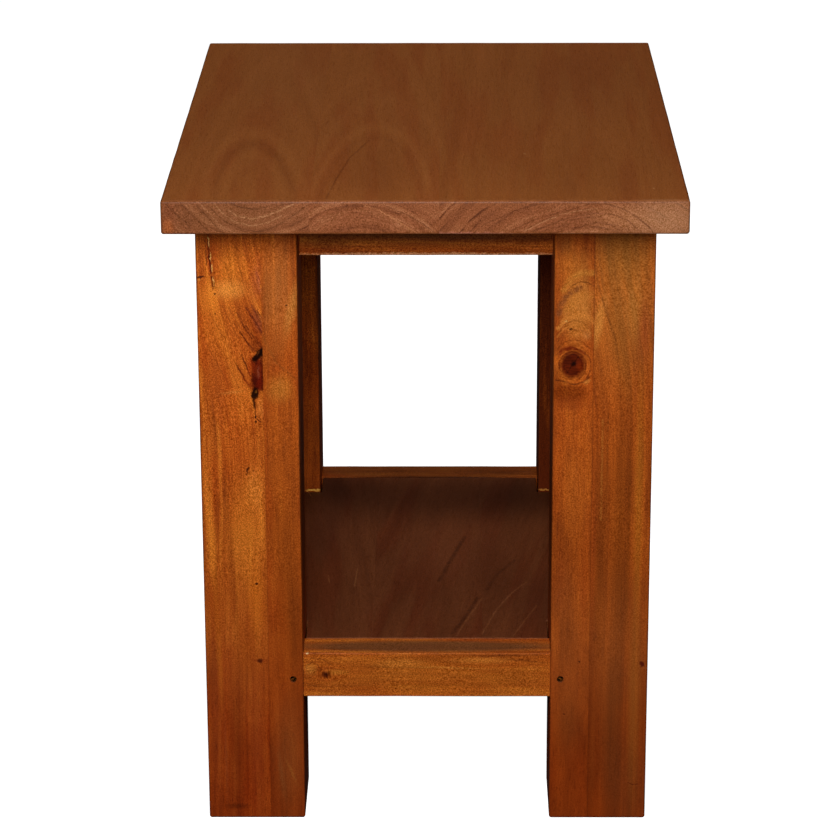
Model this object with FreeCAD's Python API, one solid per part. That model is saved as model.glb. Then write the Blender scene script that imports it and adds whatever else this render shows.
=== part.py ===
import FreeCAD, Part
import os
from FreeCAD import Vector

# Lamp table in solid wood. All lengths are in millimetres. X runs from left to right, Y from the
# front end to the rear end, and Z up. The origin is on the floor, under the middle of the top.

# Top, edge-glued from three boards that run from end to end
top_width = 450.0
top_length = 620.0
table_height = 600.0
top_thickness = 30.0
top_arris = 2.5
left_board_width = 126.0
middle_board_width = 111.0

# Legs, each glued up from an outer and an inner stave
leg_side = 88.0
side_overhang = 25.0
end_overhang = 48.0
inner_stave_left = 31.0
inner_stave_right = 35.0
leg_arris = 2.0
foot_chamfer = 1.5

# Aprons under the top, set back from the legs' inner faces
apron_height = 48.0
apron_thickness = 25.0
apron_setback = 8.0
apron_arris = 1.5
apron_tenon_thickness = 10.0
apron_tenon_shoulder = 6.0
haunch_height = 12.0
haunch_length = 8.0
mitre_step = 0.3

# Rails round the shelf, set back from the legs' outer faces
shelf_height = 160.0
rail_height = 43.0
rail_thickness = 36.0
rail_recess = 10.0
rail_arris = 1.5
rail_tenon_thickness = 14.0
rail_tenon_shoulder = 7.0
rail_tenon_length = 25.0

# Shelf panel, edge-glued from boards that run from end to end
shelf_thickness = 18.0
shelf_boards = 3
shelf_arris = 1.0
notch_clearance = 1.2

# Cleats screwed inside the rails, which carry the shelf
cleat_side = 18.0
cleat_end_gap = 2.0
cleat_arris = 1.0

# Corner blocks between the aprons, which hold the top
block_height = 24.0
block_reach = 45.0

# Steel pins through the tenons of the end rails
pin_diameter = 6.0
pin_length = 44.0
pin_recess = 1.8
pin_inset = 9.0
pin_chamfer = 0.5

# Countersunk steel wood screws
screw_head_diameter = 8.0
screw_head_height = 3.2
screw_shank_diameter = 4.0
screw_tip_diameter = 1.2
screw_tip_length = 5.0
cleat_screw_length = 30.0
top_screw_length = 44.0
cleat_screw_share = 0.8
shelf_screw_share = 0.5

# Clearances
mortise_fit = 0.2
mortise_end_room = 1.0
seat_gap = 0.3
drill_fit = 0.1
overrun = 5.0

# Places that follow from the sizes
top_underside = table_height - top_thickness
apron_underside = top_underside - apron_height
rail_underside = shelf_height - rail_height
shelf_underside = shelf_height - shelf_thickness
cleat_underside = shelf_underside - cleat_side
block_underside = top_underside - block_height
leg_face_x = top_width / 2 - side_overhang
leg_face_y = top_length / 2 - end_overhang
half_gap_x = leg_face_x - leg_side
half_gap_y = leg_face_y - leg_side
rail_inner_x = leg_face_x - rail_recess - rail_thickness
rail_inner_y = leg_face_y - rail_recess - rail_thickness

# Each side of the table with the turn, in degrees, that brings the front to it
side_turns = {"front": 0, "right": 90, "rear": 180, "left": 270}
ends = {"front": -1, "rear": 1}
hands = {"left": -1, "right": 1}
long_way_share = 0.9


def block(x_low, x_high, y_low, y_high, z_low, z_high):
    """A square-edged block between two corners."""
    corner = Vector(x_low, y_low, z_low)
    return Part.makeBox(x_high - x_low, y_high - y_low, z_high - z_low, corner)


def prism(outline, z_low, z_high):
    """An outline in plan, drawn up between two heights."""
    points = [Vector(x, y, z_low) for x, y in outline]
    face = Part.Face(Part.makePolygon(points + points[:1]))
    return face.extrude(Vector(0, 0, z_high - z_low))


def edges_along(shape, axis):
    """The edges of a block that run along one axis: 0 for X, 1 for Y, 2 for Z."""
    found = []
    for edge in shape.Edges:
        box = edge.BoundBox
        spans = (box.XLength, box.YLength, box.ZLength)
        if spans[axis] > long_way_share * sum(spans):
            found.append(edge)
    return found


def turned(shape, side):
    """A piece drawn at the front end, turned to its own side of the table."""
    copy = shape.copy()
    copy.rotate(Vector(0, 0, 0), Vector(0, 0, 1), side_turns[side])
    return copy


def side_spans(side):
    """Half the gap between the legs along a side, and how far out their outer face stands."""
    if side in ends:
        return half_gap_x, leg_face_y
    return half_gap_y, leg_face_x


def ripped(blank, glue_lines):
    """A glued blank parted at its glue lines, from left to right."""
    box = blank.BoundBox
    stops = [box.XMin - overrun] + glue_lines + [box.XMax + overrun]
    strips = []
    for low, high in zip(stops, stops[1:]):
        keep = block(low, high, box.YMin - overrun, box.YMax + overrun,
                     box.ZMin - overrun, box.ZMax + overrun)
        strips.append(blank.common(keep).Solids[0])
    return strips


# Screws and pins

def screw(length, base, direction, fit=0.0, head_run=0.0):
    """A wood screw from the face of its head; with a fit and a head run it is the screw's hole."""
    head_radius = screw_head_diameter / 2 + fit
    shank_radius = screw_shank_diameter / 2 + fit
    tip_radius = screw_tip_diameter / 2 + fit
    profile = [(0, -head_run), (head_radius, -head_run), (head_radius, 0),
               (shank_radius, screw_head_height), (shank_radius, length - screw_tip_length),
               (tip_radius, length + fit), (0, length + fit)]
    if not head_run:
        profile = profile[2:] + [(0, 0)]
    points = [Vector(radius, 0, height) for radius, height in profile]
    face = Part.Face(Part.makePolygon(points + points[:1]))
    turned_screw = face.revolve(Vector(0, 0, 0), Vector(0, 0, 1), 360)
    turned_screw.Placement = FreeCAD.Placement(base, FreeCAD.Rotation(Vector(0, 0, 1), direction))
    return turned_screw


def screws(places, length):
    """One screw at each place."""
    return [screw(length, base, direction) for base, direction in places]


def screw_holes(places, length):
    """The holes for the screws at the same places, countersunk."""
    return [screw(length, base, direction, drill_fit, overrun) for base, direction in places]


def cleat_screw_places(side):
    """Screws through a cleat into its rail, and up through it into the shelf."""
    half_gap, leg_face = side_spans(side)
    half_length = half_gap - cleat_end_gap
    inner = -(leg_face - rail_recess - rail_thickness - cleat_side)
    middle_y = inner - cleat_side / 2
    middle_z = cleat_underside + cleat_side / 2
    turn = FreeCAD.Rotation(Vector(0, 0, 1), side_turns[side])
    into_rail = []
    into_shelf = []
    for hand in hands.values():
        along = hand * half_length
        base = Vector(along * cleat_screw_share, inner, middle_z)
        into_rail.append((turn.multVec(base), turn.multVec(Vector(0, -1, 0))))
        base = Vector(along * shelf_screw_share, middle_y, cleat_underside)
        into_shelf.append((turn.multVec(base), Vector(0, 0, 1)))
    return into_rail, into_shelf


def top_screw_places():
    """One screw up through each corner block, midway between the leg's corner and the long face."""
    inset = (block_reach - apron_setback) / 4
    places = []
    for end in ends.values():
        for hand in hands.values():
            base = Vector(hand * (half_gap_x - inset), end * (half_gap_y - inset), block_underside)
            places.append((base, Vector(0, 0, 1)))
    return places


def rail_pins(side):
    """The two pins of an end rail, driven in from the legs' outer faces."""
    pins = []
    for hand in hands.values():
        base = Vector(hand * (half_gap_x + pin_inset), -leg_face_y + pin_recess,
                      shelf_height - rail_height / 2)
        pin = Part.makeCylinder(pin_diameter / 2, pin_length, base, Vector(0, 1, 0))
        rims = [edge for edge in pin.Edges if len(edge.Vertexes) == 1]
        pins.append(turned(pin.makeChamfer(pin_chamfer, rims), side))
    return pins


def pin_holes(side):
    """The holes for the same pins, through the tenons."""
    holes = []
    for hand in hands.values():
        base = Vector(hand * (half_gap_x + pin_inset), -leg_face_y - overrun,
                      shelf_height - rail_height / 2)
        hole = Part.makeCylinder(pin_diameter / 2 + drill_fit, overrun + pin_recess + pin_length,
                                 base, Vector(0, 1, 0))
        holes.append(turned(hole, side))
    return holes


# Aprons and rails, with the tenons that enter the legs

def tenon_ends(side, centre, thickness, length, z_low, z_high, fit, end_room):
    """A tenon at both ends of a bar; with a fit and an end room they are the mortises."""
    half_gap = side_spans(side)[0]
    tongues = []
    for hand in hands.values():
        tip = hand * (half_gap + length + end_room)
        root = hand * half_gap
        tongues.append(block(min(root, tip), max(root, tip),
                             centre - thickness / 2 - fit, centre + thickness / 2 + fit,
                             z_low - fit, z_high + fit))
    return tongues


def rounded_bar(side, y_outer, y_inner, z_low, z_high, arris, round_top):
    """A bar between two legs with its long arrises rounded."""
    half_gap = side_spans(side)[0]
    bar = block(-half_gap, half_gap, y_outer, y_inner, z_low, z_high)
    middle = (z_low + z_high) / 2
    chosen = [edge for edge in edges_along(bar, 0) if round_top or edge.BoundBox.ZMax < middle]
    return bar.makeFillet(arris, chosen)


def apron_tenons(side, fit=0.0, end_room=0.0):
    """Apron tenons with haunches, long enough to meet the next apron's tenon in the leg."""
    half_gap, leg_face = side_spans(side)
    setting = apron_setback + apron_thickness / 2
    centre = -(leg_face - leg_side + setting)
    length = setting + apron_tenon_thickness / 2
    tongues = tenon_ends(side, centre, apron_tenon_thickness, length,
                         apron_underside + apron_tenon_shoulder, top_underside - haunch_height,
                         fit, end_room)
    haunches = tenon_ends(side, centre, apron_tenon_thickness, haunch_length,
                          top_underside - haunch_height, top_underside, fit, end_room)
    if not fit:
        tongues = [tongue.cut(mitre_waste(hand * (half_gap + setting), centre, hand))
                   for tongue, hand in zip(tongues, hands.values())]
    return tongues + haunches


def mitre_waste(x_meet, y_meet, hand):
    """What is cut off a tenon so that it meets the next one at half a right angle."""
    x_line = x_meet - hand * mitre_step
    y_line = y_meet - mitre_step
    reach = apron_tenon_thickness
    outline = [(x_line - hand * reach, y_line + reach), (x_line + hand * reach, y_line - reach),
               (x_line + hand * reach, y_line + reach)]
    return prism(outline, apron_underside, top_underside)


def apron(side):
    """An apron under the top, rounded along its lower arrises."""
    leg_face = side_spans(side)[1]
    y_inner = -(leg_face - leg_side + apron_setback)
    bar = rounded_bar(side, y_inner - apron_thickness, y_inner, apron_underside, top_underside,
                      apron_arris, False)
    return turned(bar.multiFuse(apron_tenons(side)).removeSplitter(), side)


def rail_tenons(side, fit=0.0, end_room=0.0):
    """Rail tenons with a shoulder all round."""
    leg_face = side_spans(side)[1]
    centre = -(leg_face - rail_recess - rail_thickness / 2)
    return tenon_ends(side, centre, rail_tenon_thickness, rail_tenon_length,
                      rail_underside + rail_tenon_shoulder, shelf_height - rail_tenon_shoulder,
                      fit, end_room)


def rail(side):
    """A rail of the shelf's frame; the end rails are drilled for their pins."""
    leg_face = side_spans(side)[1]
    y_outer = -(leg_face - rail_recess)
    bar = rounded_bar(side, y_outer, y_outer + rail_thickness, rail_underside, shelf_height,
                      rail_arris, True)
    whole = turned(bar.multiFuse(rail_tenons(side)).removeSplitter(), side)
    holes = screw_holes(cleat_screw_places(side)[0], cleat_screw_length)
    if side in ends:
        holes += pin_holes(side)
    return whole.cut(holes)


# Legs

def leg_cuts():
    """Every mortise and pin hole that the legs take."""
    cuts = []
    for side in side_turns:
        for mortise in apron_tenons(side, mortise_fit, mortise_end_room):
            cuts.append(turned(mortise, side))
        for mortise in rail_tenons(side, mortise_fit, mortise_end_room):
            cuts.append(turned(mortise, side))
    for side in ends:
        cuts += pin_holes(side)
    return cuts


def leg_staves(end, hand, inner_stave, cuts):
    """A leg, mortised, then parted at its glue line into its staves from left to right."""
    x_faces = sorted((hand * half_gap_x, hand * leg_face_x))
    y_faces = sorted((end * half_gap_y, end * leg_face_y))
    blank = block(*x_faces, *y_faces, 0, top_underside)
    blank = blank.makeFillet(leg_arris, edges_along(blank, 2))
    foot = [edge for edge in blank.Edges if edge.BoundBox.ZMax < leg_arris]
    blank = blank.makeChamfer(foot_chamfer, foot)
    return ripped(blank.cut(cuts), [hand * (half_gap_x + inner_stave)])


def save_legs():
    """Both staves of all four legs."""
    cuts = leg_cuts()
    inner_staves = {"left": inner_stave_left, "right": inner_stave_right}
    for end_name, end in ends.items():
        for hand_name, hand in hands.items():
            staves = leg_staves(end, hand, inner_staves[hand_name], cuts)
            outer, inner = staves if hand < 0 else staves[::-1]
            save("leg_%s_%s_outer_stave" % (end_name, hand_name), [outer])
            save("leg_%s_%s_inner_stave" % (end_name, hand_name), [inner])


# Top, shelf, cleats and corner blocks

def top_boards():
    """The top, rounded all over and drilled from below, parted into its boards."""
    blank = block(-top_width / 2, top_width / 2, -top_length / 2, top_length / 2,
                  top_underside, table_height)
    blank = blank.makeFillet(top_arris, blank.Edges)
    blank = blank.cut(screw_holes(top_screw_places(), top_screw_length))
    first_line = left_board_width - top_width / 2
    return ripped(blank, [first_line, first_line + middle_board_width])


def shelf_outline():
    """The shelf in plan, notched round the four legs."""
    x_wing = rail_inner_x - seat_gap
    y_wing = rail_inner_y - seat_gap
    x_notch = half_gap_x - notch_clearance
    y_notch = half_gap_y - notch_clearance
    quarter = [(x_wing, y_notch), (x_notch, y_notch), (x_notch, y_wing)]
    outline = list(quarter)
    outline += [(-x, y) for x, y in reversed(quarter)]
    outline += [(-x, -y) for x, y in quarter]
    outline += [(x, -y) for x, y in reversed(quarter)]
    return outline


def shelf_pieces():
    """The shelf panel with its upper arris eased, parted into its boards."""
    blank = prism(shelf_outline(), shelf_underside, shelf_height)
    middle = (shelf_underside + shelf_height) / 2
    blank = blank.makeFillet(shelf_arris, [e for e in blank.Edges if e.BoundBox.ZMin > middle])
    for side in side_turns:
        blank = blank.cut(screw_holes(cleat_screw_places(side)[1], cleat_screw_length))
    box = blank.BoundBox
    lines = [box.XMin + box.XLength * count / shelf_boards for count in range(1, shelf_boards)]
    return ripped(blank, lines)


def cleat(side):
    """A cleat inside a rail, with its lower inner arris eased and its screw holes drilled."""
    half_gap, leg_face = side_spans(side)
    y_rail = -(leg_face - rail_recess - rail_thickness)
    y_inner = y_rail + cleat_side
    half_length = half_gap - cleat_end_gap
    bar = block(-half_length, half_length, y_rail, y_inner, cleat_underside, shelf_underside)
    middle_y = (y_rail + y_inner) / 2
    middle_z = (cleat_underside + shelf_underside) / 2
    chosen = [edge for edge in edges_along(bar, 0)
              if edge.BoundBox.YMin > middle_y and edge.BoundBox.ZMax < middle_z]
    bar = turned(bar.makeFillet(cleat_arris, chosen), side)
    into_rail, into_shelf = cleat_screw_places(side)
    return bar.cut(screw_holes(into_rail + into_shelf, cleat_screw_length))


def corner_block(end, hand):
    """A glue block across a corner of the aprons, notched round the leg."""
    plan = [(seat_gap, -apron_setback), (block_reach, -apron_setback),
            (-apron_setback, block_reach), (-apron_setback, seat_gap), (seat_gap, seat_gap)]
    outline = [(hand * (half_gap_x - x), end * (half_gap_y - y)) for x, y in plan]
    piece = prism(outline, block_underside, top_underside)
    return piece.cut(screw_holes(top_screw_places(), top_screw_length))


def save(name, solids):
    """One file for a piece, or for a group of like fasteners."""
    shape = solids[0] if len(solids) == 1 else Part.Compound(solids)
    if not shape.isValid() or min(solid.Volume for solid in shape.Solids) <= 0:
        raise ValueError("not a sound solid: " + name)
    shape.exportStep("parts/%s.step" % name)
    print(name, len(shape.Solids), round(shape.Volume))


def main():
    os.makedirs("parts", exist_ok=True)
    for name, board in zip(("left", "middle", "right"), top_boards()):
        save("top_board_" + name, [board])
    save_legs()
    for side in side_turns:
        save("apron_" + side, [apron(side)])
        save("rail_" + side, [rail(side)])
        save("cleat_" + side, [cleat(side)])
    for number, board in enumerate(shelf_pieces(), start=1):
        save("shelf_board_%d" % number, [board])
    for end_name, end in ends.items():
        for hand_name, hand in hands.items():
            save("corner_block_%s_%s" % (end_name, hand_name), [corner_block(end, hand)])
    into_rail = []
    into_shelf = []
    for side in side_turns:
        rail_places, shelf_places = cleat_screw_places(side)
        into_rail += screws(rail_places, cleat_screw_length)
        into_shelf += screws(shelf_places, cleat_screw_length)
    save("cleat_screws", into_rail)
    save("shelf_screws", into_shelf)
    save("top_screws", screws(top_screw_places(), top_screw_length))
    save("rail_pins", [pin for side in ends for pin in rail_pins(side)])


main()
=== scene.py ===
"""Lamp table in stained solid wood with a low shelf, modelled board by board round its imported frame."""
import math

import bpy
from bpy.props import FloatProperty, PointerProperty, StringProperty
from mathutils import Matrix, Vector


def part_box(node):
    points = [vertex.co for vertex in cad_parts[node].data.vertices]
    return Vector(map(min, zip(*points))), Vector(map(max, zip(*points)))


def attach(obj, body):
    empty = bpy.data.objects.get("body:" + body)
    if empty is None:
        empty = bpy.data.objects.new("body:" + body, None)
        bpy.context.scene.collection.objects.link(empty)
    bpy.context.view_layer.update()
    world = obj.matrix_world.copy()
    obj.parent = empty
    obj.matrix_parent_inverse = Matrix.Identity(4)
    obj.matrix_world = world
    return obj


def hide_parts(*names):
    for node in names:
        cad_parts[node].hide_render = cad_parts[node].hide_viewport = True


bl_info = {
    "name": "Lamp Table",
    "version": (1, 0, 0),
    "blender": (4, 5, 0),
    "location": "View3D > Sidebar > Lamp Table",
    "description": "Models a stained solid wood lamp table with a low shelf",
    "category": "Object",
}

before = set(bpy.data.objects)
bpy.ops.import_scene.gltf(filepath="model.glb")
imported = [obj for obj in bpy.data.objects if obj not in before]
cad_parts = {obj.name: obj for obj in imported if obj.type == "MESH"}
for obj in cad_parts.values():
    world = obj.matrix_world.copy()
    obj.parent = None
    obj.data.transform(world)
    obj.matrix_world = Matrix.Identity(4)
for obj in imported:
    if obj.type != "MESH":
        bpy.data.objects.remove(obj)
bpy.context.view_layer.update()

MILLIMETRE = 0.001
HAIR = 0.000001
SIDES = ("front", "rear", "left", "right")
ENDS = ("front", "rear")
HANDS = ("left", "right")
TOP_BOARDS = ("top_board_left", "top_board_middle", "top_board_right")
SHELF_BOARDS = ("shelf_board_1", "shelf_board_2", "shelf_board_3")


def face_of(node, corner, axis):
    """Where a side of a node's box lies, in millimetres; corner 0 is the lowest, 1 the highest."""
    return round(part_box(node)[corner][axis] / MILLIMETRE, 3)


# Faces that marks are drawn on
LEG_FACE = face_of("leg_front_left_outer_stave", 0, 1)
RAIL_FACE = face_of("rail_front", 0, 1)
RAIL_TOP = face_of("rail_front", 1, 2)
APRON_FACE = face_of("apron_front", 0, 1)
TOP_FACE = face_of("top_board_left", 1, 2)
TOP_EDGE = face_of("top_board_left", 0, 1)
SHELF_FACE = face_of("shelf_board_1", 1, 2)

# Segments across an edge that is rounded, rounded small, eased or chamfered
ROUNDED, ROUNDED_SMALL, EASED, CHAMFERED = 4, 3, 2, 1
ROD_SIDES = 48
LAND_TURN = math.radians(-42)
SMOOTHED_BELOW = math.radians(35)
FLAT_FACE_WEIGHT = 100
TOP_WAVE_SEED, LEG_WAVE_SEED = 3, 7

# Patterns of the wood: how wide each is across the log and along it, in millimetres
SLOW_WANDER = (70, 420)
FINE_WANDER = (9, 80)
BROKEN_LINES = (14, 60)
FINE_FIBRES = (1.3, 80)
COARSE_FIBRES = (3.6, 130)
PORE_DASHES = (0.95, 8)
SANDY_SPECKS = (1.0, 1.25)
STAIN_CLOUDS = (16, 62)
BLUSH_CLOUDS = (24, 110)
FINE_WANDER_DEPTH = 2.2

# Where in a year the dark wood begins and is full, and where the line that ends the year falls off
LATE_WOOD = (0.55, 0.92)
YEAR_END = (0.94, 1.0)

# How much each pattern moves the tone of a board's faces and of its cut ends
FACE_BANDS, FACE_CLOUD, FACE_FIBRES = 0.75, 0.8, 1.3
END_BANDS, END_FIBRES, END_BLUSH, END_LINES = 0.9, 0.7, 0.4, -0.7
END_MIDDLE = 0.52

# Ranges over which a look fades in: a pattern's value, a face's turn, a height or distance in metres
BLUSHED = (0.46, 0.62)
CUT_END = (0.55, 0.9)
ON_ARRIS = (0.97, 0.80)
SANDED_FINER = (0.10, 0.32)
TOWARDS_FOOT = (0.30, 0.0)
GLUE_LINE_EDGE = (0.0009, 0.0002)

# Strength of the stain in pores, and of the grit near a foot, on a cut end and in each colour
PORE_STAIN = 0.55
FOOT_SAND = 0.4
END_GRIT = 1.6
GRIT_TINT = (0.8, 1.0, 1.5)

# Torn edges of marks: how many tears a metre, and how far they reach on patches and on lines
TEARS_PER_METRE = 260.0
PATCH_TEAR = 0.004
LINE_TEAR = 0.0018

# Clear lacquer, and specks of grime on steel
LACQUER_IOR = 1.46
GRIME_PER_METRE = 900.0

# Stains that several marks share; GLINT is a painted highlight, and SHELF_SHADOW and INNER_SHADOW are painted
# shade
SPECK = "#35120a"
GLINT = "#f6b860"
DARK_RING = "#5c2c10"
BROWN_RING = "#5c3014"
ARRIS_STAIN = "#6e3c1e"
SHELF_SHADOW = "#2a130a"
SHELF_SCRATCH = "#8f5430"
SHELF_FLECK = "#a5683c"
KNOT_BLACK = "#120200"
INNER_SHADOW = "#120602"


# Sizes and colours that a user would change

def length(name, description, default):
    """A size of the table, in metres."""
    return FloatProperty(name=name, description=description, default=default, unit="LENGTH")


class LampTableSizes(bpy.types.PropertyGroup):
    """Joinery and edge sizes of the table."""

    top_arris: length("Top arris", "Radius along the edges of the top", 0.0025)
    leg_arris: length("Leg arris", "Radius along the corners of a leg", 0.002)
    foot_chamfer: length("Foot chamfer", "Chamfer round the foot of a leg", 0.0015)
    bar_arris: length("Bar arris", "Radius along the edges of the aprons and rails", 0.0015)
    shelf_arris: length("Shelf arris", "Radius along the upper edges of the shelf", 0.001)
    seam_ease: length("Seam ease", "How far the edges beside a glue line are eased", 0.00005)
    sanding_wave: length("Sanding wave", "How far hand sanding left an arris uneven", 0.00012)
    sanding_step: length("Sanding step", "Distance between high and low places of an arris", 0.030)
    apron_tenon_thickness: length("Apron tenon thickness", "Thickness of the aprons' tenons", 0.010)
    apron_tenon_shoulder: length("Apron tenon shoulder", "Shoulder below the aprons' tenons", 0.006)
    haunch_height: length("Haunch height", "Height of the haunch above an apron's tenon", 0.012)
    haunch_length: length("Haunch length", "Length of the haunch above an apron's tenon", 0.008)
    rail_tenon_thickness: length("Rail tenon thickness", "Thickness of the rails' tenons", 0.014)
    rail_tenon_shoulder: length("Rail tenon shoulder", "Shoulder above and below a rail's tenon", 0.007)
    mortise_fit: length("Mortise fit", "Room between a tenon's cheek and its mortise", 0.0002)
    mortise_end_room: length("Mortise end room", "Room past the end of a tenon", 0.001)
    mitre_step: length("Mitre step", "How far the mitred ends of two tenons stay apart", 0.0003)
    pin_hole_diameter: length("Pin hole diameter", "Diameter of the holes for the rails' pins", 0.0062)
    pin_length: length("Pin length", "Length of a pin through a rail's tenon", 0.044)
    pin_rim: length("Pin rim", "Rounding of a pin's rim", 0.0003)
    pin_land: length("Pin land", "Width of the land left across the end of a pin", 0.0019)
    pin_pocket: length("Pin pocket", "Depth of the pockets beside the land", 0.0012)
    notch_clearance: length("Notch clearance", "Gap between the shelf's notch and a leg", 0.0012)


def stain(name, description, default):
    """A colour of the finish, kept as an sRGB hex value."""
    return StringProperty(name=name, description=description, default=default)


class LampTableColours(bpy.types.PropertyGroup):
    """Colours of the stained wood and the steel, as sRGB hex values."""

    leg_light: stain("Leg light", "Early wood and lighter fibres of the legs", "#e5812a")
    leg_middle: stain("Leg middle", "Middle tone of the legs", "#b95819")
    leg_dark: stain("Leg dark", "Late wood and darker fibres of the legs", "#6c2b0d")
    top_light: stain("Top light", "Early wood of the top", "#a8622f")
    top_middle: stain("Top middle", "Middle tone of the top", "#955424")
    top_dark: stain("Top dark", "Late wood of the top", "#7f451a")
    shelf_light: stain("Shelf light", "Early wood of the shelf", "#8e4f2a")
    shelf_middle: stain("Shelf middle", "Middle tone of the shelf", "#733c1f")
    shelf_dark: stain("Shelf dark", "Late wood of the shelf", "#552912")
    inner_light: stain("Inner light", "Early wood of the hidden pieces", "#a06638")
    inner_middle: stain("Inner middle", "Middle tone of the hidden pieces", "#7c4320")
    inner_dark: stain("Inner dark", "Late wood of the hidden pieces", "#4c220d")
    end_light: stain("End light", "Pale arcs of a cut end", "#a66a44")
    end_middle: stain("End middle", "Middle tone of a cut end", "#864a28")
    end_dark: stain("End dark", "Dark arcs of a cut end", "#5c2c12")
    pore: stain("Pore", "Stain that gathered in the pores", "#8a4a30")
    red_blush: stain("Red blush", "Redder places where the stain took", "#e08868")
    glue_line: stain("Glue line", "Thin dark line where two boards meet", "#4a200a")
    rubbed_edge: stain("Rubbed edge", "Finish rubbed thin along an arris", "#c07c44")
    # Painted shade, multiplied in towards the feet of the legs
    foot_painted_shade: stain("Foot red", "Darker, redder stain towards the feet", "#eac2cc")
    steel: stain("Steel", "Lacquered steel of the pins and screws", "#8a4e1c")
    # The grime colour also paints the shade in the pins' pockets
    grime: stain("Grime", "Oil and dust in the corners of the steel", "#0c0704")


def linear(hex_value):
    """An sRGB hex colour as linear RGBA."""
    channels = []
    for start in (1, 3, 5):
        share = int(hex_value[start:start + 2], 16) / 255
        channels.append(share / 12.92 if share <= 0.04045 else ((share + 0.055) / 1.055) ** 2.4)
    return (*channels, 1.0)


# Modelling helpers

def deselect_all():
    """Leaves nothing selected, in object mode."""
    if bpy.context.mode != "OBJECT":
        bpy.ops.object.mode_set(mode="OBJECT")
    bpy.ops.object.select_all(action="DESELECT")


def take(piece):
    """Makes a piece the only one selected."""
    deselect_all()
    piece.select_set(True)
    bpy.context.view_layer.objects.active = piece


def block(name, low, high):
    """A square-edged blank between two corners."""
    low = Vector(low)
    high = Vector(high)
    deselect_all()
    bpy.ops.mesh.primitive_cube_add(size=1, location=(low + high) / 2, scale=high - low)
    piece = bpy.context.object
    piece.name = name
    piece.data.name = name
    bpy.ops.object.transform_apply(location=True, rotation=True, scale=True)
    return piece


def rod(name, centre, radius, reach):
    """A round rod along Y."""
    deselect_all()
    bpy.ops.mesh.primitive_cylinder_add(vertices=ROD_SIDES, radius=radius, depth=reach,
                                        location=centre, rotation=(math.pi / 2, 0, 0))
    piece = bpy.context.object
    piece.name = name
    piece.data.name = name
    bpy.ops.object.transform_apply(location=True, rotation=True, scale=True)
    return piece


def clear_selection(piece, kind):
    """Leaves nothing of a piece selected, ready to pick its edges or its points."""
    take(piece)
    bpy.ops.object.mode_set(mode="EDIT")
    bpy.ops.mesh.select_mode(type=kind)
    bpy.ops.mesh.select_all(action="DESELECT")
    bpy.ops.object.mode_set(mode="OBJECT")


def select_edges(piece, wanted):
    """Enters edit mode with the edges selected whose two ends pass a test."""
    clear_selection(piece, "EDGE")
    points = piece.data.vertices
    for edge in piece.data.edges:
        first, second = edge.vertices
        edge.select = wanted(points[first].co, points[second].co)
    bpy.ops.object.mode_set(mode="EDIT")


def bevel_edges(piece, width, segments, wanted):
    """Rounds the edges that pass a test."""
    select_edges(piece, wanted)
    bpy.ops.mesh.bevel(offset=width, segments=segments, profile=0.5, affect="EDGES",
                       clamp_overlap=True)
    bpy.ops.object.mode_set(mode="OBJECT")


def divide_along(piece, axis, step):
    """Divides the edges that run along an axis into lengths of about one step."""
    points = piece.data.vertices

    def run(first, second):
        return abs(first[axis] - second[axis])

    longest = max(run(*(points[index].co for index in edge.vertices)) for edge in piece.data.edges)
    nearly_all = longest * 0.9
    select_edges(piece, lambda first, second: run(first, second) > nearly_all)
    bpy.ops.mesh.subdivide(number_cuts=max(int(longest / step), 1), quadcorner="STRAIGHT_CUT",
                           ngon=True)
    bpy.ops.object.mode_set(mode="OBJECT")


def wave_arrises(piece, low, high, depth, seed):
    """Leaves the rounded arrises slightly uneven, as sanding by hand does.

    Only points that lie clear of the outer box move, so that the piece doesn't grow.
    """
    clear_selection(piece, "VERT")
    clear = depth * 1.2
    for point in piece.data.vertices:
        inside = [min(point.co[axis] - low[axis], high[axis] - point.co[axis]) > clear
                  for axis in range(3)]
        point.select = all(inside)
    bpy.ops.object.mode_set(mode="EDIT")
    bpy.ops.transform.vertex_random(offset=depth, uniform=0.0, normal=1.0, seed=seed)
    bpy.ops.object.mode_set(mode="OBJECT")


def copy_of(piece, name):
    """A copy with a mesh of its own."""
    take(piece)
    bpy.ops.object.duplicate(linked=False)
    made = bpy.context.object
    made.name = name
    made.data.name = name
    return made


def mirrored(piece, name, across_x, across_y):
    """A copy mirrored across the middle of the table, with its faces turned outwards again."""
    made = copy_of(piece, name)
    made.scale = (-1 if across_x else 1, -1 if across_y else 1, 1)
    bpy.ops.object.transform_apply(location=True, rotation=True, scale=True)
    bpy.ops.object.mode_set(mode="EDIT")
    bpy.ops.mesh.select_all(action="SELECT")
    bpy.ops.mesh.normals_make_consistent(inside=False)
    bpy.ops.object.mode_set(mode="OBJECT")
    return made


def sawn_at(piece, place, normal):
    """Saws a piece through and keeps the side that the normal points away from."""
    take(piece)
    bpy.ops.object.mode_set(mode="EDIT")
    bpy.ops.mesh.select_all(action="SELECT")
    bpy.ops.mesh.bisect(plane_co=place, plane_no=normal, use_fill=True, clear_outer=True)
    bpy.ops.object.mode_set(mode="OBJECT")


def ripped(blank, name, x_low, x_high, ease):
    """The strip of a glued blank between two glue lines, with the edges beside them eased."""
    strip = copy_of(blank, name)
    low, high = box_round(blank.bound_box)
    seams = []
    if x_high < high.x - ease:
        sawn_at(strip, (x_high, 0, 0), (1, 0, 0))
        seams.append(x_high)
    if x_low > low.x + ease:
        sawn_at(strip, (x_low, 0, 0), (-1, 0, 0))
        seams.append(x_low)

    def beside_seam(first, second):
        return any(max(abs(first.x - seam), abs(second.x - seam)) < HAIR for seam in seams)

    bevel_edges(strip, ease, EASED, beside_seam)
    return strip


def box_round(points):
    """Lowest and highest corner of the box round some points."""
    low = Vector([min(point[axis] for point in points) for axis in range(3)])
    high = Vector([max(point[axis] for point in points) for axis in range(3)])
    return low, high


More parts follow.
